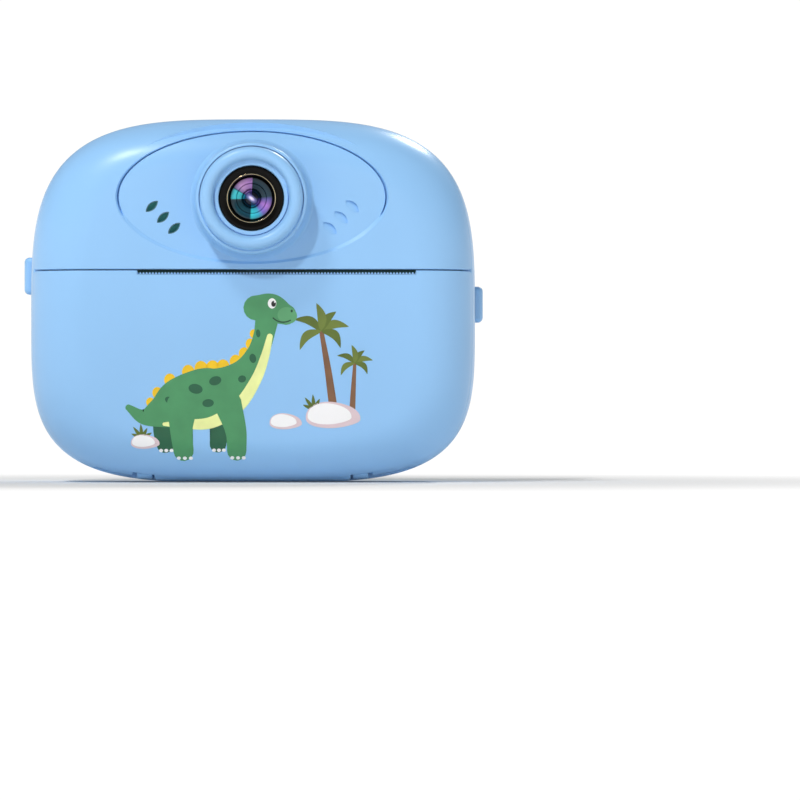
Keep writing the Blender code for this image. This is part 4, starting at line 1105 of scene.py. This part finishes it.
def make_button(name):
    """Oval cap with a rolled rim and its mark sunk into it and filled in a deeper blue, which is painted
    shade in the groove.
    """
    middle, size, lean = BUTTONS[name]
    turn = lean * BUTTON_LEAN
    flange_y = PANEL_LOW.y - 0.3
    node = name + "_button"
    foot_y = frame_box(node)[0].y
    cap = prism(name + "_cap", ellipse(middle, *size, turn), foot_y, BUTTON_TOP_Y, key_blue, 1, 0.5)
    sunk = BUTTON_TOP_Y - 0.3
    width = 0.44 if name in ("shutter", "power") else 0.4
    marks = []
    for line in icon_lines(name):
        # Seen from behind, the mark's right is the object's -X.
        marks.append(stroke([(middle[0] - u, middle[1] + v) for u, v in line], width))
    carve(cap, [prism("mark", outline, sunk, BUTTON_TOP_Y + 1.0) for outline in marks], 40.0)
    finish(cap, name + "_key", "button_blue", node)
    flange = ellipse(middle, size[0] + 0.8, size[1] + 0.8, turn)
    collar = prism(name + "_flange", flange, flange_y - 0.7, flange_y, key_blue, 1, 0.15)
    finish(collar, name + "_key", "button_blue", node)
    # Fills of painted shade in the sunk marks.
    for i, outline in enumerate(marks):
        inlay = prism(f"{name}_mark_{i + 1}", outline, sunk - 0.1, sunk + 0.12, mark_blue, 1)
        finish(inlay, name + "_key", "button_blue", node)


def panel_outline(grow):
    angles = np.linspace(0.0, TAU, 220, endpoint=False)
    # Evener spacing round the corners than equal angles give.
    angles = angles - 0.12 * np.sin(4 * angles)
    reach = panel_reach(angles, grow)
    x = PANEL_MIDDLE[0] + reach * np.cos(angles)
    return list(zip(x, PANEL_MIDDLE[1] + reach * np.sin(angles)))


def make_panel():
    """Dark glossy panel with the screen's window and a hole for each button."""
    panel = prism("panel_plate", panel_outline(-0.02), PANEL_LOW.y, PANEL_HIGH.y, navy, 1, 0.3)
    middle = middle_of(GLASS_LOW, GLASS_HIGH, "xz")
    size = (GLASS_HIGH.x - GLASS_LOW.x + 0.2, GLASS_HIGH.z - GLASS_LOW.z + 0.2)
    cutters = [prism("window", slot_outline(middle, *size, 0.3), 20.0, 30.0)]
    for centre, extent, lean in BUTTONS.values():
        hole = ellipse(centre, extent[0] + 0.5, extent[1] + 0.5, lean * BUTTON_LEAN)
        cutters.append(prism("hole", hole, 20.0, 30.0))
    low, high = frame_box("microphone")
    cutters.append(prism("mic", ellipse(middle_of(low, high, "xz"), 1.0, 1.0), 20.0, 30.0))
    carve(panel, cutters)
    finish(panel, "case", "navy_panel", "screen_panel")


def rectangle(low_u, high_u, low_v, high_v):
    return [(low_u, low_v), (high_u, low_v), (high_u, high_v), (low_u, high_v)]


def lit(name, low, high, glow=0.28):
    """Backlit colour under gloss: it fades from one shade to another up the screen."""
    made = new_material(name, 0.08, Coat_Weight=0.6, Coat_Roughness=0.03, Emission_Strength=glow)
    height = add_node(made, "ShaderNodeSeparateXYZ", {"Vector": position(made)}).outputs["Z"]
    share = mapped(made, height, (GLASS_LOW.z * MM, GLASS_HIGH.z * MM), (0.0, 1.0))
    colour = ramp_of(made, share, ((0.0, low), (1.0, high)))
    for socket in ("Base Color", "Emission Color"):
        link(made, colour, shader_of(made).inputs[socket])
    return roughness_by_noise(made, 0.05, 0.11, 26.0)


def seen_at(u, v):
    """A place in the picture, u from its left and v from its foot, seen from behind."""
    return (
        GLASS_HIGH.x - u * (GLASS_HIGH.x - GLASS_LOW.x),
        GLASS_LOW.z + v * (GLASS_HIGH.z - GLASS_LOW.z),
    )


def hill(crests, foot):
    """Outline of hills across the picture: crests of (place, height, spread) over a foot."""
    left, right, bottom = 0.008, 0.992, 0.012
    top = []
    for i in range(61):
        u = i / 60
        rise = sum(size * math.exp(-(((u - where) / spread) ** 2)) for where, size, spread in crests)
        top.append(seen_at(min(max(u, left), right), foot + rise))
    return top + [seen_at(right, bottom), seen_at(left, bottom)]


def picture_layers():
    """Name, outline, lower and upper colour of each part of the landscape, from the back."""
    layers = [
        ("screen_sun", ellipse(seen_at(0.80, 0.78), 7.0, 7.0), (1.0, 0.80, 0.25), (1.0, 0.88, 0.4)),
        ("screen_cloud_1", ellipse(seen_at(0.26, 0.80), 11.0, 3.4), (0.85, 0.93, 0.97), (0.95, 0.98, 1.0)),
        ("screen_cloud_2", ellipse(seen_at(0.55, 0.66), 8.0, 2.4), (0.80, 0.90, 0.96), (0.92, 0.97, 1.0)),
        (
            "screen_far_hills",
            hill(((0.18, 0.16, 0.2), (0.72, 0.22, 0.24)), 0.28),
            (0.20, 0.30, 0.62),
            (0.52, 0.42, 0.80),
        ),
        (
            "screen_middle_hills",
            hill(((0.42, 0.16, 0.22), (0.98, 0.14, 0.2)), 0.18),
            (0.02, 0.36, 0.42),
            (0.10, 0.75, 0.60),
        ),
        (
            "screen_near_hills",
            hill(((0.12, 0.10, 0.24), (0.74, 0.08, 0.2)), 0.07),
            (0.03, 0.30, 0.10),
            (0.50, 0.85, 0.20),
        ),
        ("screen_balloon", ellipse(seen_at(0.42, 0.60), 8.2, 9.4), (0.85, 0.12, 0.16), (0.95, 0.30, 0.22)),
        ("screen_balloon_band", ellipse(seen_at(0.42, 0.60), 3.0, 9.3), (0.95, 0.75, 0.3), (1.0, 0.85, 0.45)),
        (
            "screen_basket",
            slot_outline(seen_at(0.42, 0.435), 1.8, 1.5, 0.3),
            (0.30, 0.13, 0.05),
            (0.42, 0.20, 0.08),
        ),
    ]
    for i in range(9):
        u = 0.09 + 0.1 * i
        foot = 0.075 + 0.02 * math.sin(2.1 * i)
        tall = 0.15 + 0.05 * math.sin(1.7 * i + 1.0)
        crown = [seen_at(u - 0.026, foot + 0.05), seen_at(u + 0.026, foot + 0.05), seen_at(u, foot + tall)]
        layers.append((f"screen_tree_{i + 1}", crown, (0.01, 0.16, 0.08), (0.05, 0.55, 0.22)))
    return layers


def make_screen():
    """Glass with a lit picture of a simple landscape: sky, sun, clouds, hills and a balloon."""
    x0, x1, z0, z1 = GLASS_LOW.x, GLASS_HIGH.x, GLASS_LOW.z, GLASS_HIGH.z
    face_y = GLASS_HIGH.y - 0.12
    sky = lit("screen_sky", (0.10, 0.62, 0.72), (0.0, 0.33, 0.50))
    rim = lit("screen_rim", (0.62, 0.72, 0.80), (0.70, 0.80, 0.86), 0.2)
    edge = prism("screen_border", rectangle(x0, x1, z0, z1), GLASS_LOW.y, face_y - 0.02, rim, 1, 0.05)
    finish(edge, "case", "screen_glass", "screen_glass")
    inset = 0.35
    area = rectangle(x0 + inset, x1 - inset, z0 + inset, z1 - inset)
    plate = prism("screen_sky_area", area, GLASS_LOW.y + 0.2, face_y, sky)
    finish(plate, "case", "screen_glass", "screen_glass")
    for i, (name, outline, low_colour, high_colour) in enumerate(picture_layers()):
        step = face_y + 0.012 * (i + 1)
        piece = prism(name, outline, face_y - 0.3, step, lit(name, low_colour, high_colour))
        finish(piece, "case", "screen_glass", "screen_glass")


def make_selfie_camera():
    """Second camera: a black stepped ring round a small domed lens."""
    middle = (0.0, 0.0, SELFIE_Z)
    face = SELFIE_HIGH.y
    outer = [(2.4, face - 2.3), (2.4, face - 0.2), (2.32, face - 0.04), (2.2, face), (1.98, face - 0.06)]
    inner = [(1.9, face - 0.35), (1.82, face - 0.42), (1.75, face - 0.8), (1.75, face - 2.3)]
    ring = turned("selfie_ring", outer + inner, middle, (0.0, 1.0, 0.0), gloss_black, 72)
    finish(ring, "case", "black_plastic", "selfie_bezel")
    radius, rise, rim_y, back_y = 1.5, 0.75, 25.75, 25.0
    dome = [(0.001, rim_y + rise)]
    dome += [(radius * math.sin(a), rim_y + rise * math.cos(a)) for a in np.linspace(0.1, 1.5, 12)]
    dome += [(radius, back_y), (0.001, back_y)]
    lens = turned("selfie_dome", dome, middle, (0.0, 1.0, 0.0), olive_glass, 64)
    finish(lens, "case", "coated_glass", "selfie_lens")


# ---------------------------------------------------------------- front details


def make_tear_bar():
    """Serrated strip over the paper exit, teeth down."""
    low, high = TEAR_LOW.x, TEAR_HIGH.x
    teeth = 89
    pitch = (high - low) / teeth
    base = TEAR_HIGH.z - 0.42
    outline = [(high, TEAR_HIGH.z), (low, TEAR_HIGH.z)]
    for tooth in range(teeth):
        outline.append((low + pitch * (tooth + 0.16), base))
        outline.append((low + pitch * (tooth + 0.5), TEAR_LOW.z))
        outline.append((low + pitch * (tooth + 0.84), base))
    strip_back = TEAR_LOW.y + 0.06
    bar = prism("tear_bar_strip", outline, TEAR_LOW.y, strip_back, teal_black)
    finish(bar, "case", "black_plastic", "tear_bar")
    low_corner = (low, strip_back + 0.02, TEAR_LOW.z)
    holder = rounded_box("tear_bar_holder", low_corner, (high, TEAR_HIGH.y, TEAR_HIGH.z), 0.06, blue)
    finish(holder, "case", "case_blue", "tear_bar")


def lens_part(name, profile, material):
    """A piece turned round the lens axis; its heights grow towards the front."""
    return turned(name, profile, (0.0, 0.0, LENS_Z), (0.0, -1.0, 0.0), material, 128)


def make_bezel():
    """Black ring that steps down to the glass."""
    low, high = frame_box("lens_bezel")
    front = -low.y
    back = -high.y
    bezel = [(7.12, back), (7.12, front - 0.25), (7.04, front - 0.06), (6.86, front), (6.1, front - 0.1)]
    bezel += [(5.9, front - 0.2), (5.6, front - 0.24), (5.26, front - 0.24)]
    bezel += [(5.2, front - 0.25), (5.05, front - 0.6), (4.98, front - 1.2), (4.9, back)]
    finish(lens_part("lens_bezel_ring", bezel, gloss_black), "case", "black_plastic", "lens_bezel")


def make_gold_ring():
    """Thin ring, round in front."""
    low, high = frame_box("lens_trim_ring")
    gold_front = -low.y
    gold_back = -high.y
    inner, outer = 5.26, 5.48
    bend = np.linspace(0.0, math.pi, 9)
    middle_radius = (inner + outer) / 2
    half = (outer - inner) / 2
    profile = [(inner, gold_back)]
    profile += [(middle_radius - half * math.cos(a), gold_front - half * (1 - math.sin(a))) for a in bend]
    profile += [(outer, gold_back)]
    finish(lens_part("lens_gold_ring", profile, gold), "case", "gold", "lens_trim_ring")


def make_front_glass():
    """Coated glass: a small dome in the middle of two shallow steps."""
    low, high = frame_box("front_lens")
    tip = -low.y
    rim = -high.y + 0.4
    glass = [(0.001, tip - 0.9)]
    glass += [(1.9 * math.sin(a), tip - 2.0 + 1.1 * math.cos(a)) for a in np.linspace(0.12, 1.5, 10)]
    glass += [(2.0, tip - 2.05), (2.15, tip - 1.9)]
    glass += [(2.3, tip - 1.55), (3.2, tip - 1.1), (3.3, tip - 1.14), (3.42, tip - 0.9)]
    glass += [(3.5, tip - 0.85), (4.3, tip - 0.55), (4.62, tip - 0.62), (4.8, tip - 0.9)]
    glass += [(4.8, rim), (0.001, rim)]
    dome = lens_part("lens_glass", glass, lens_glass)
    finish(dome, "case", "coated_glass", "front_lens", "inner_lens")


def decal(name, outline, level, material):
    """A printed patch that lies on the door's curved face, with the given place in the stack."""
    shape = bmesh.new()
    face = shape.faces.new([shape.verts.new((x * MM, 0.0, z * MM)) for x, z in outline])
    bmesh.ops.triangulate(shape, faces=[face])
    xs = [x for x, _ in outline]
    zs = [z for _, z in outline]
    for axis, low, high in ((0, min(xs), max(xs)), (2, min(zs), max(zs))):
        for place in np.arange(math.ceil(low / DECAL_CELL) * DECAL_CELL, high, DECAL_CELL):
            point = Vector((0.0, 0.0, 0.0))
            normal = Vector((0.0, 0.0, 0.0))
            point[axis] = place * MM
            normal[axis] = 1.0
            everything = shape.verts[:] + shape.edges[:] + shape.faces[:]
            bmesh.ops.bisect_plane(shape, geom=everything, dist=1e-8, plane_co=point, plane_no=normal)
    bmesh.ops.remove_doubles(shape, verts=shape.verts, dist=1e-8)
    made = bmesh.ops.extrude_face_region(shape, geom=shape.faces[:])
    lifted = {item for item in made["geom"] if isinstance(item, bmesh.types.BMVert)}
    corners = shape.verts[:]
    x = np.array([vert.co.x for vert in corners]) / MM
    z = np.array([vert.co.z for vert in corners]) / MM
    depth = front_surface(x, z)
    for vert, y in zip(corners, depth):
        proud = PRINT_PROUD + PRINT_STEP * level
        vert.co.y = (y - proud) * MM if vert in lifted else (y + PRINT_SUNK) * MM
    bmesh.ops.recalc_face_normals(shape, faces=shape.faces)
    finish(smooth(object_from(shape, name, material), 30.0), "door", "case_blue", "paper_door")


def curve_through(points):
    """Smooth curve through (x, z, width) rows."""
    rows = np.array(points, float)
    padded = np.concatenate([[2 * rows[0] - rows[1]], rows, [2 * rows[-1] - rows[-2]]])
    curve = []
    for i in range(len(rows) - 1):
        a, b, c, d = padded[i : i + 4]
        for t in np.linspace(0.0, 1.0, CURVE_STEPS, endpoint=False):
            cubic = 2 * b + (c - a) * t + (2 * a - 5 * b + 4 * c - d) * t * t
            curve.append((cubic + (3 * b - 3 * c + d - a) * t**3) / 2)
    curve.append(rows[-1])
    return np.array(curve)


def ribbon(points):
    """Outline of a smooth line through (x, z, width) rows, with round ends."""
    curve = curve_through(points)
    return band(curve[:, :2], np.maximum(curve[:, 2], 0.05), 9)


def frond(base, tip, width, sag):
    """A palm leaf: two arcs from the base to the tip that bow to one side."""
    base = np.array(base, float)
    tip = np.array(tip, float)
    along = tip - base
    side = np.array((-along[1], along[0])) / np.linalg.norm(along)
    outline = []
    for direction, share_list in ((1, np.linspace(0, 1, 12)), (-1, np.linspace(1, 0, 12)[1:-1])):
        for share in share_list:
            bow = sag * math.sin(math.pi * share)
            half = width / 2 * math.sin(math.pi * share**0.8) ** 0.8 if 0 < share < 1 else 0.0
            point = base + along * share + side * (bow + direction * half)
            outline.append((float(point[0]), float(point[1])))
    return outline


def make_palm(name, crown, size, foot, trunk_width):
    trunk = ribbon(
        [
            (foot[0], foot[1], trunk_width * 1.25),
            ((foot[0] * 0.55 + crown[0] * 0.45), (foot[1] + crown[1]) / 2, trunk_width),
            (crown[0], crown[1], trunk_width * 0.62),
        ]
    )
    decal(name + "_trunk", trunk, 1, bark)
    ways = ((8, 0.95, 0.16), (52, 0.82, 0.1), (100, 0.95, -0.1))
    ways += ((158, 1.0, -0.17), (222, 0.98, -0.2), (318, 0.88, 0.2))
    for i, (degrees, reach, sag) in enumerate(ways):
        turn = math.radians(degrees)
        tip = (crown[0] + size * reach * math.cos(turn), crown[1] + size * reach * math.sin(turn))
        leaf_green = palm_green if i % 2 else palm_light
        decal(f"{name}_frond_{i + 1}", frond(crown, tip, size * 0.3, size * sag), 2 + i % 3, leaf_green)


def make_tuft(name, foot, size):
    for i, degrees in enumerate((28, 62, 95, 128, 158)):
        turn = math.radians(degrees)
        reach = size * (1.0 if i in (2, 3) else 0.8)
        tip = (foot[0] + reach * math.cos(turn), foot[1] + reach * math.sin(turn))
        decal(f"{name}_{i + 1}", frond(foot, tip, size * 0.24, 0.0), 1 + i % 2, palm_green)


def rock_outline(middle, width, height):
    """A boulder: round above and flatter below."""
    points = []
    for step in range(48):
        turn = TAU * step / 48
        up = math.sin(turn)
        lift = up if up > 0 else up * 0.45
        bulge = 1 + 0.05 * math.sin(3 * turn + 1.0)
        across = width / 2 * math.cos(turn) * bulge
        points.append((middle[0] + across, middle[1] + height * 0.62 * lift * bulge))
    return points


def make_rock(name, middle, width, height):
    decal(name + "_shade", rock_outline(middle, width, height), 2, rock_shade)
    lit_part = rock_outline((middle[0] - width * 0.06, middle[1] + height * 0.07), width * 0.8, height * 0.8)
    decal(name + "_light", lit_part, 3, rock_white)


def make_legs():
    """Two far and two near legs, each with three toes."""
    legs = (
        ("far_hind_leg", [(-19.2, 17.0, 5.2), (-20.0, 12.0, 4.2), (-19.4, 8.4, 3.9)], 1, dino_dark),
        ("far_fore_leg", [(-8.4, 17.0, 4.8), (-7.2, 12.0, 4.0), (-7.6, 8.4, 3.7)], 1, dino_dark),
        ("near_hind_leg", [(-15.6, 17.0, 7.0), (-15.8, 11.5, 5.0), (-15.3, 6.9, 4.5)], 5, dino_green),
        ("near_fore_leg", [(-5.4, 17.5, 6.2), (-3.6, 11.5, 4.7), (-3.4, 6.9, 4.3)], 5, dino_green),
    )
    for name, rows, level, finish_colour in legs:
        decal(name, ribbon(rows), level, finish_colour)
        foot_x, foot_z, foot_width = rows[-1]
        for i in range(3):
            toe = (foot_x + (i - 0.8) * foot_width * 0.3, foot_z - foot_width * 0.36)
            decal(f"{name}_toe_{i + 1}", ellipse(toe, 0.9, 0.75, 0.0, 16), level + 1, rock_white)


def make_body():
    """Neck, trunk and tail along one spine, with plates along the back and a pale belly."""
    spine = [
        (3.4, 36.6, 5.2),
        (2.6, 32.5, 4.6),
        (1.2, 28.5, 5.0),
        (-1.4, 24.2, 7.2),
        (-5.8, 20.4, 11.4),
        (-11.0, 18.6, 13.4),
        (-16.4, 17.4, 11.4),
        (-20.8, 15.4, 6.8),
        (-24.4, 14.6, 3.4),
        (-27.6, 16.6, 1.4),
    ]
    curve = curve_through(spine)
    for i in range(11):
        row = curve[CURVE_STEPS + 5 * i]
        nearby = curve[CURVE_STEPS + 1 + 5 * i] - row
        along = nearby[:2] / np.linalg.norm(nearby[:2])
        side = np.array((along[1], -along[0]))
        middle = row[:2] + side * row[2] * 0.5
        size = 1.5 + 1.5 * math.sin(math.pi * (i + 0.6) / 11.5)
        decal(f"back_plate_{i + 1}", ellipse(middle, size, size * 1.15, 0.0, 24), 2, plate_yellow)
    decal("dinosaur_body", ribbon(spine), 3, dino_green)
    belly = [
        (4.0, 32.5, 1.3),
        (2.9, 28.0, 1.9),
        (0.9, 22.8, 2.4),
        (-3.0, 17.0, 2.8),
        (-9.0, 13.3, 2.6),
        (-15.0, 12.9, 2.0),
        (-19.6, 12.9, 0.8),
    ]
    decal("dinosaur_belly", ribbon(belly), 4, belly_cream)


def make_head():
    head = [(0.9, 38.9, 5.6), (4.4, 38.7, 6.6), (7.6, 37.4, 4.6)]
    decal("dinosaur_head", ribbon(head), 5, dino_green)
    decal("dinosaur_muzzle", ellipse((7.9, 37.2), 4.4, 3.7, -0.2, 40), 6, dino_light)
    decal("dinosaur_mouth", stroke(arc((7.0, 38.9), 3.2, 225, 300, 12), 0.3), 8, dino_line)
    decal("dinosaur_nostril", ellipse((8.9, 38.2), 0.5, 0.65, 0.0, 16), 8, dino_line)
    decal("dinosaur_eye_white", ellipse((4.5, 39.9), 1.9, 2.3, 0.0, 32), 7, rock_white)
    decal("dinosaur_eye", ellipse((4.85, 39.8), 1.05, 1.35, 0.0, 24), 8, ink_black)
    decal("dinosaur_eye_glint", ellipse((5.1, 40.2), 0.35, 0.4, 0.0, 16), 9, rock_white)


def make_spots():
    """Darker spots: middle x and z, width, height and turn of each."""
    spots = ((-8.2, 22.6, 2.8, 2.0, 0.3), (-12.6, 20.8, 3.2, 2.2, -0.2), (-5.2, 18.4, 2.4, 1.7, 0.6))
    spots += ((-9.8, 17.6, 2.6, 1.8, 0.1), (-14.4, 16.4, 2.2, 1.8, 0.5), (-18.4, 18.2, 2.2, 1.5, -0.5))
    spots += ((0.2, 27.6, 1.5, 2.1, 0.2), (-2.2, 23.0, 1.8, 1.6, 0.2), (1.4, 33.2, 1.0, 1.8, 0.1))
    for i, (x, z, width, height, turn) in enumerate(spots):
        decal(f"dinosaur_spot_{i + 1}", ellipse((x, z), width, height, turn, 24), 4, dino_dark)


def make_decals():
    """The print on the door: a simple long-necked dinosaur among palms, tufts and rocks."""
    make_legs()
    make_body()
    make_head()
    make_spots()
    make_palm("palm_tall", (15.5, 33.8), 6.6, (18.2, 16.5), 1.5)
    make_palm("palm_short", (23.0, 26.6), 4.3, (22.4, 15.0), 1.1)
    make_tuft("tuft_right", (13.9, 16.2), 3.4)
    make_tuft("tuft_left", (-24.6, 9.8), 3.2)
    make_rock("rock_left", (-24.0, 8.4), 6.4, 3.6)
    make_rock("rock_small", (7.4, 12.9), 7.2, 4.0)
    make_rock("rock_large", (17.9, 13.9), 12.2, 6.6)


# ---------------------------------------------------------------- CAD nodes that stay


def paper_material():
    """Wound thermal paper: white faces, with the turns of the roll showing at its ends."""
    made = new_material("paper_white", 0.72)
    low, high = frame_box("paper_roll")
    offset = vector_math(made, "SUBTRACT", position(made), tuple((low + high) / 2 * MM))
    rings = add_node(
        made,
        "ShaderNodeTexWave",
        {"Vector": offset},
        wave_type="RINGS",
        rings_direction="X",
        Scale=900.0,
        Distortion=1.2,
        Detail=2.0,
    )
    tones = ((0.0, (0.70, 0.69, 0.66)), (0.6, (0.88, 0.87, 0.84)))
    link(made, ramp_of(made, rings.outputs["Fac"], tones), shader_of(made).inputs["Base Color"])
    roughness_by_noise(made, 0.65, 0.8, 500.0)
    return grain(made, 5200.0, 0.08)


def board_material():
    """Solder mask over copper tracks, with paler pads."""
    made = new_material("board_green", 0.3, Coat_Weight=0.3)
    tracks = add_node(
        made,
        "ShaderNodeTexBrick",
        {"Vector": position(made)},
        Scale=420.0,
        Color1=(0.010, 0.120, 0.050, 1.0),
        Color2=(0.014, 0.160, 0.070, 1.0),
        Mortar=(0.050, 0.300, 0.130, 1.0),
    )
    link(made, tracks.outputs["Color"], shader_of(made).inputs["Base Color"])
    roughness_by_noise(made, 0.25, 0.4, 400.0)
    return bump_from(made, tracks.outputs["Fac"], 0.3, 0.00003)


def mesh_material():
    """Woven dust mesh behind the sound holes."""
    made = new_material("green_mesh", 0.6)
    weave = add_node(
        made,
        "ShaderNodeTexChecker",
        {"Vector": position(made)},
        Scale=5200.0,
        Color1=(0.045, 0.330, 0.300, 1.0),
        Color2=(0.080, 0.480, 0.430, 1.0),
    )
    link(made, weave.outputs["Color"], shader_of(made).inputs["Base Color"])
    return bump_from(made, weave.outputs["Fac"], 0.5, 0.00004)


def finish_cad_nodes():
    """Detailed materials for the record's slots, on every CAD node that stays in view."""
    by_slot = {
        "case_blue": blue,
        "button_blue": key_blue,
        "navy_panel": navy,
        "screen_glass": gloss_black,
        "black_plastic": black,
        "grey_plastic": moulded("grey_plastic", (0.20, 0.21, 0.22), 0.5),
        "white_plastic": moulded("white_plastic", (0.74, 0.74, 0.72), 0.45),
        "gold": gold,
        "coated_glass": lens_glass,
        "green_mesh": mesh_material(),
        "steel": metal,
        "brass": brushed("brass", (0.72, 0.50, 0.20), 0.3, 0),
        "rubber": moulded("rubber", (0.020, 0.020, 0.021), 0.7, 0.15, 2600.0, 0.3),
        "paper": paper_material(),
        "cardboard": moulded("cardboard", (0.42, 0.29, 0.17), 0.8, 0.15, 1500.0, 0.4),
        "board_green": board_material(),
        "ceramic": moulded("ceramic", (0.50, 0.47, 0.42), 0.3),
        "cell_silver": brushed("cell_silver", (0.62, 0.63, 0.65), 0.35, 2),
        "flex_amber": moulded("flex_amber", (0.50, 0.24, 0.03), 0.3, 0.1),
    }
    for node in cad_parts.values():
        for slot in node.material_slots:
            wanted = slot.material.name.split(".")[0] if slot.material else None
            if wanted in by_slot:
                slot.material = by_slot[wanted]
    return by_slot


def cylinder_profile(radius, inner, low, high, edge=0.2):
    """Closed (radius, height) loop of a tube with small chamfers."""
    return [
        (radius, low + edge),
        (radius, high - edge),
        (radius - edge, high),
        (inner + edge, high),
        (inner, high - edge),
        (inner, low + edge),
        (inner + edge, low),
        (radius - edge, low),
    ]


def make_motor_can(finishes):
    """The print motor's can, with its end cap and a rolled groove."""
    low, high = frame_box("print_motor")
    middle = (0.0, *middle_of(low, high, "yz"))
    radius = (high.z - low.z) / 2
    can = [(0.001, low.x), (radius * 0.45, low.x), (radius * 0.47, low.x + 0.5)]
    can += [(radius - 0.7, low.x + 0.5), (radius - 0.15, low.x + 0.75), (radius, low.x + 1.3)]
    can += [(radius, high.x - 2.6), (radius - 0.25, high.x - 2.5), (radius - 0.25, high.x - 2.2)]
    can += [(radius, high.x - 2.1), (radius, high.x - 0.4), (radius - 0.4, high.x), (0.001, high.x)]
    motor = turned("motor_can", can, middle, (1.0, 0.0, 0.0), finishes["steel"], 96)
    finish(motor, "case", "steel", "print_motor")


def make_turned_insides(finishes):
    """Finer round pieces that show when the paper door is open: node, body, slot, chamfer, and
    the node that fills its bore."""
    rows = (
        ("paper_roll", "roll", "paper", 0.15, "paper_core"),
        ("paper_core", "roll", "cardboard", 0.15, None),
        ("platen_roller", "platen", "rubber", 0.3, "platen_shaft"),
        ("platen_shaft", "platen", "steel", 0.25, None),
        ("hinge_pin", "case", "steel", 0.2, None),
    )
    for node, body, slot, edge, within in rows:
        low, high = frame_box(node)
        middle = (0.0, *middle_of(low, high, "yz"))
        radius = (high.z - low.z) / 2
        if within:
            inner_low, inner_high = frame_box(within)
            inner = (inner_high.z - inner_low.z) / 2 + 0.05
        else:
            inner = 0.001 if node != "paper_core" else radius - 1.1
        profile = cylinder_profile(radius, inner, low.x, high.x, edge if inner > 0.1 else 0.0005)
        made = turned(node + "_turned", profile, middle, (1.0, 0.0, 0.0), finishes[slot], 120)
        finish(made, body, slot, node)


# ---------------------------------------------------------------- stage


def make_floor():
    """White card: it takes the camera's shadow near the foot and glows like a lit cove beyond."""
    shape = bmesh.new()
    bmesh.ops.create_circle(shape, cap_ends=True, segments=96, radius=2.6)
    white = (1.0, 1.0, 1.0, 1.0)
    paper = new_material("floor_paper", 0.9, Specular_IOR_Level=0.0, Emission_Color=white)
    reach = vector_math(paper, "LENGTH", position(paper))
    glow = mapped(paper, reach, FLOOR_FADE, (0.04, BACKDROP), interpolation_type="SMOOTHSTEP")
    grey = mapped(paper, reach, FLOOR_FADE, (0.80, 0.0), interpolation_type="SMOOTHSTEP")
    card = add_node(paper, "ShaderNodeCombineColor", {"Red": grey, "Green": grey, "Blue": grey})
    link(paper, card.outputs["Color"], shader_of(paper).inputs["Base Color"])
    link(paper, glow, shader_of(paper).inputs["Emission Strength"])
    floor = object_from(shape, "floor", paper)
    floor.location.z = -0.0002


def make_world():
    """Bright low down, where the backdrop of a studio would be, and dimmer overhead."""
    world = bpy.data.worlds.new("studio")
    bpy.context.scene.world = world
    world.use_nodes = True
    background = world.node_tree.nodes["Background"]
    background.inputs["Color"].default_value = (1.0, 0.98, 0.95, 1.0)
    way = add_node(world, "ShaderNodeTexCoord").outputs["Generated"]
    height = add_node(world, "ShaderNodeSeparateXYZ", {"Vector": way}).outputs["Z"]
    strength = mapped(world, height, (0.10, 0.23), (BACKDROP, 0.25))
    link(world, strength, background.inputs["Strength"])


def make_lights():
    """Discs aimed at the camera's middle: name, way to it, distance, size and power."""
    target = Vector((0.0, 0.0, 0.045))
    lights = (
        ("key", (-0.32, -1.0, 0.80), 1.0, 0.06, 3.0),
        ("softbox_top_left", (-0.37, -0.5, 0.86), 0.9, 0.17, 2.5),
        ("fill_right", (0.9, -0.7, 0.25), 1.1, 0.7, 0.15),
        ("rear_key", (0.45, 0.95, 0.8), 1.0, 0.16, 3.4),
    )
    for name, way, distance, size, power in lights:
        lamp = bpy.data.lights.new(name, "AREA")
        lamp.shape = "DISK"
        lamp.size = size
        lamp.energy = power
        obj = bpy.data.objects.new(name, lamp)
        bpy.context.scene.collection.objects.link(obj)
        obj.location = target + Vector(way).normalized() * distance
        # The key shapes the shadows; the softboxes alone show in the gloss.
        obj.visible_glossy = name != "key"
        obj.rotation_euler = (target - obj.location).to_track_quat("-Z", "Y").to_euler()


def make_camera():
    """The photograph's view: level, from far off, the object left of and above the middle."""
    distance = 1.7
    seen_width = 0.1802
    camera = bpy.data.cameras.new("camera")
    camera.sensor_width = 36.0
    camera.lens = 36.0 * distance / seen_width
    camera.clip_start = 0.01
    view = bpy.data.objects.new("camera", camera)
    bpy.context.scene.collection.objects.link(view)
    view.location = (0.0331, -0.0055 - distance, 0.0183)
    view.rotation_euler = (math.radians(90.0), 0.0, 0.0)
    bpy.context.scene.camera = view
    bpy.context.scene.view_settings.view_transform = "Standard"


make_floor()
make_world()
make_lights()
make_camera()
finishes = finish_cad_nodes()
make_front_cover()
make_paper_door()
make_barrel()
make_bezel()
make_gold_ring()
make_front_glass()
make_tear_bar()
make_decals()
make_rear_shell()
make_hinge_ears()
make_screw_bosses()
make_strap_bar()
make_release_tab()
make_ports()
make_panel()
make_screen()
for button in BUTTONS:
    make_button(button)
make_selfie_camera()
make_motor_can(finishes)
make_turned_insides(finishes)
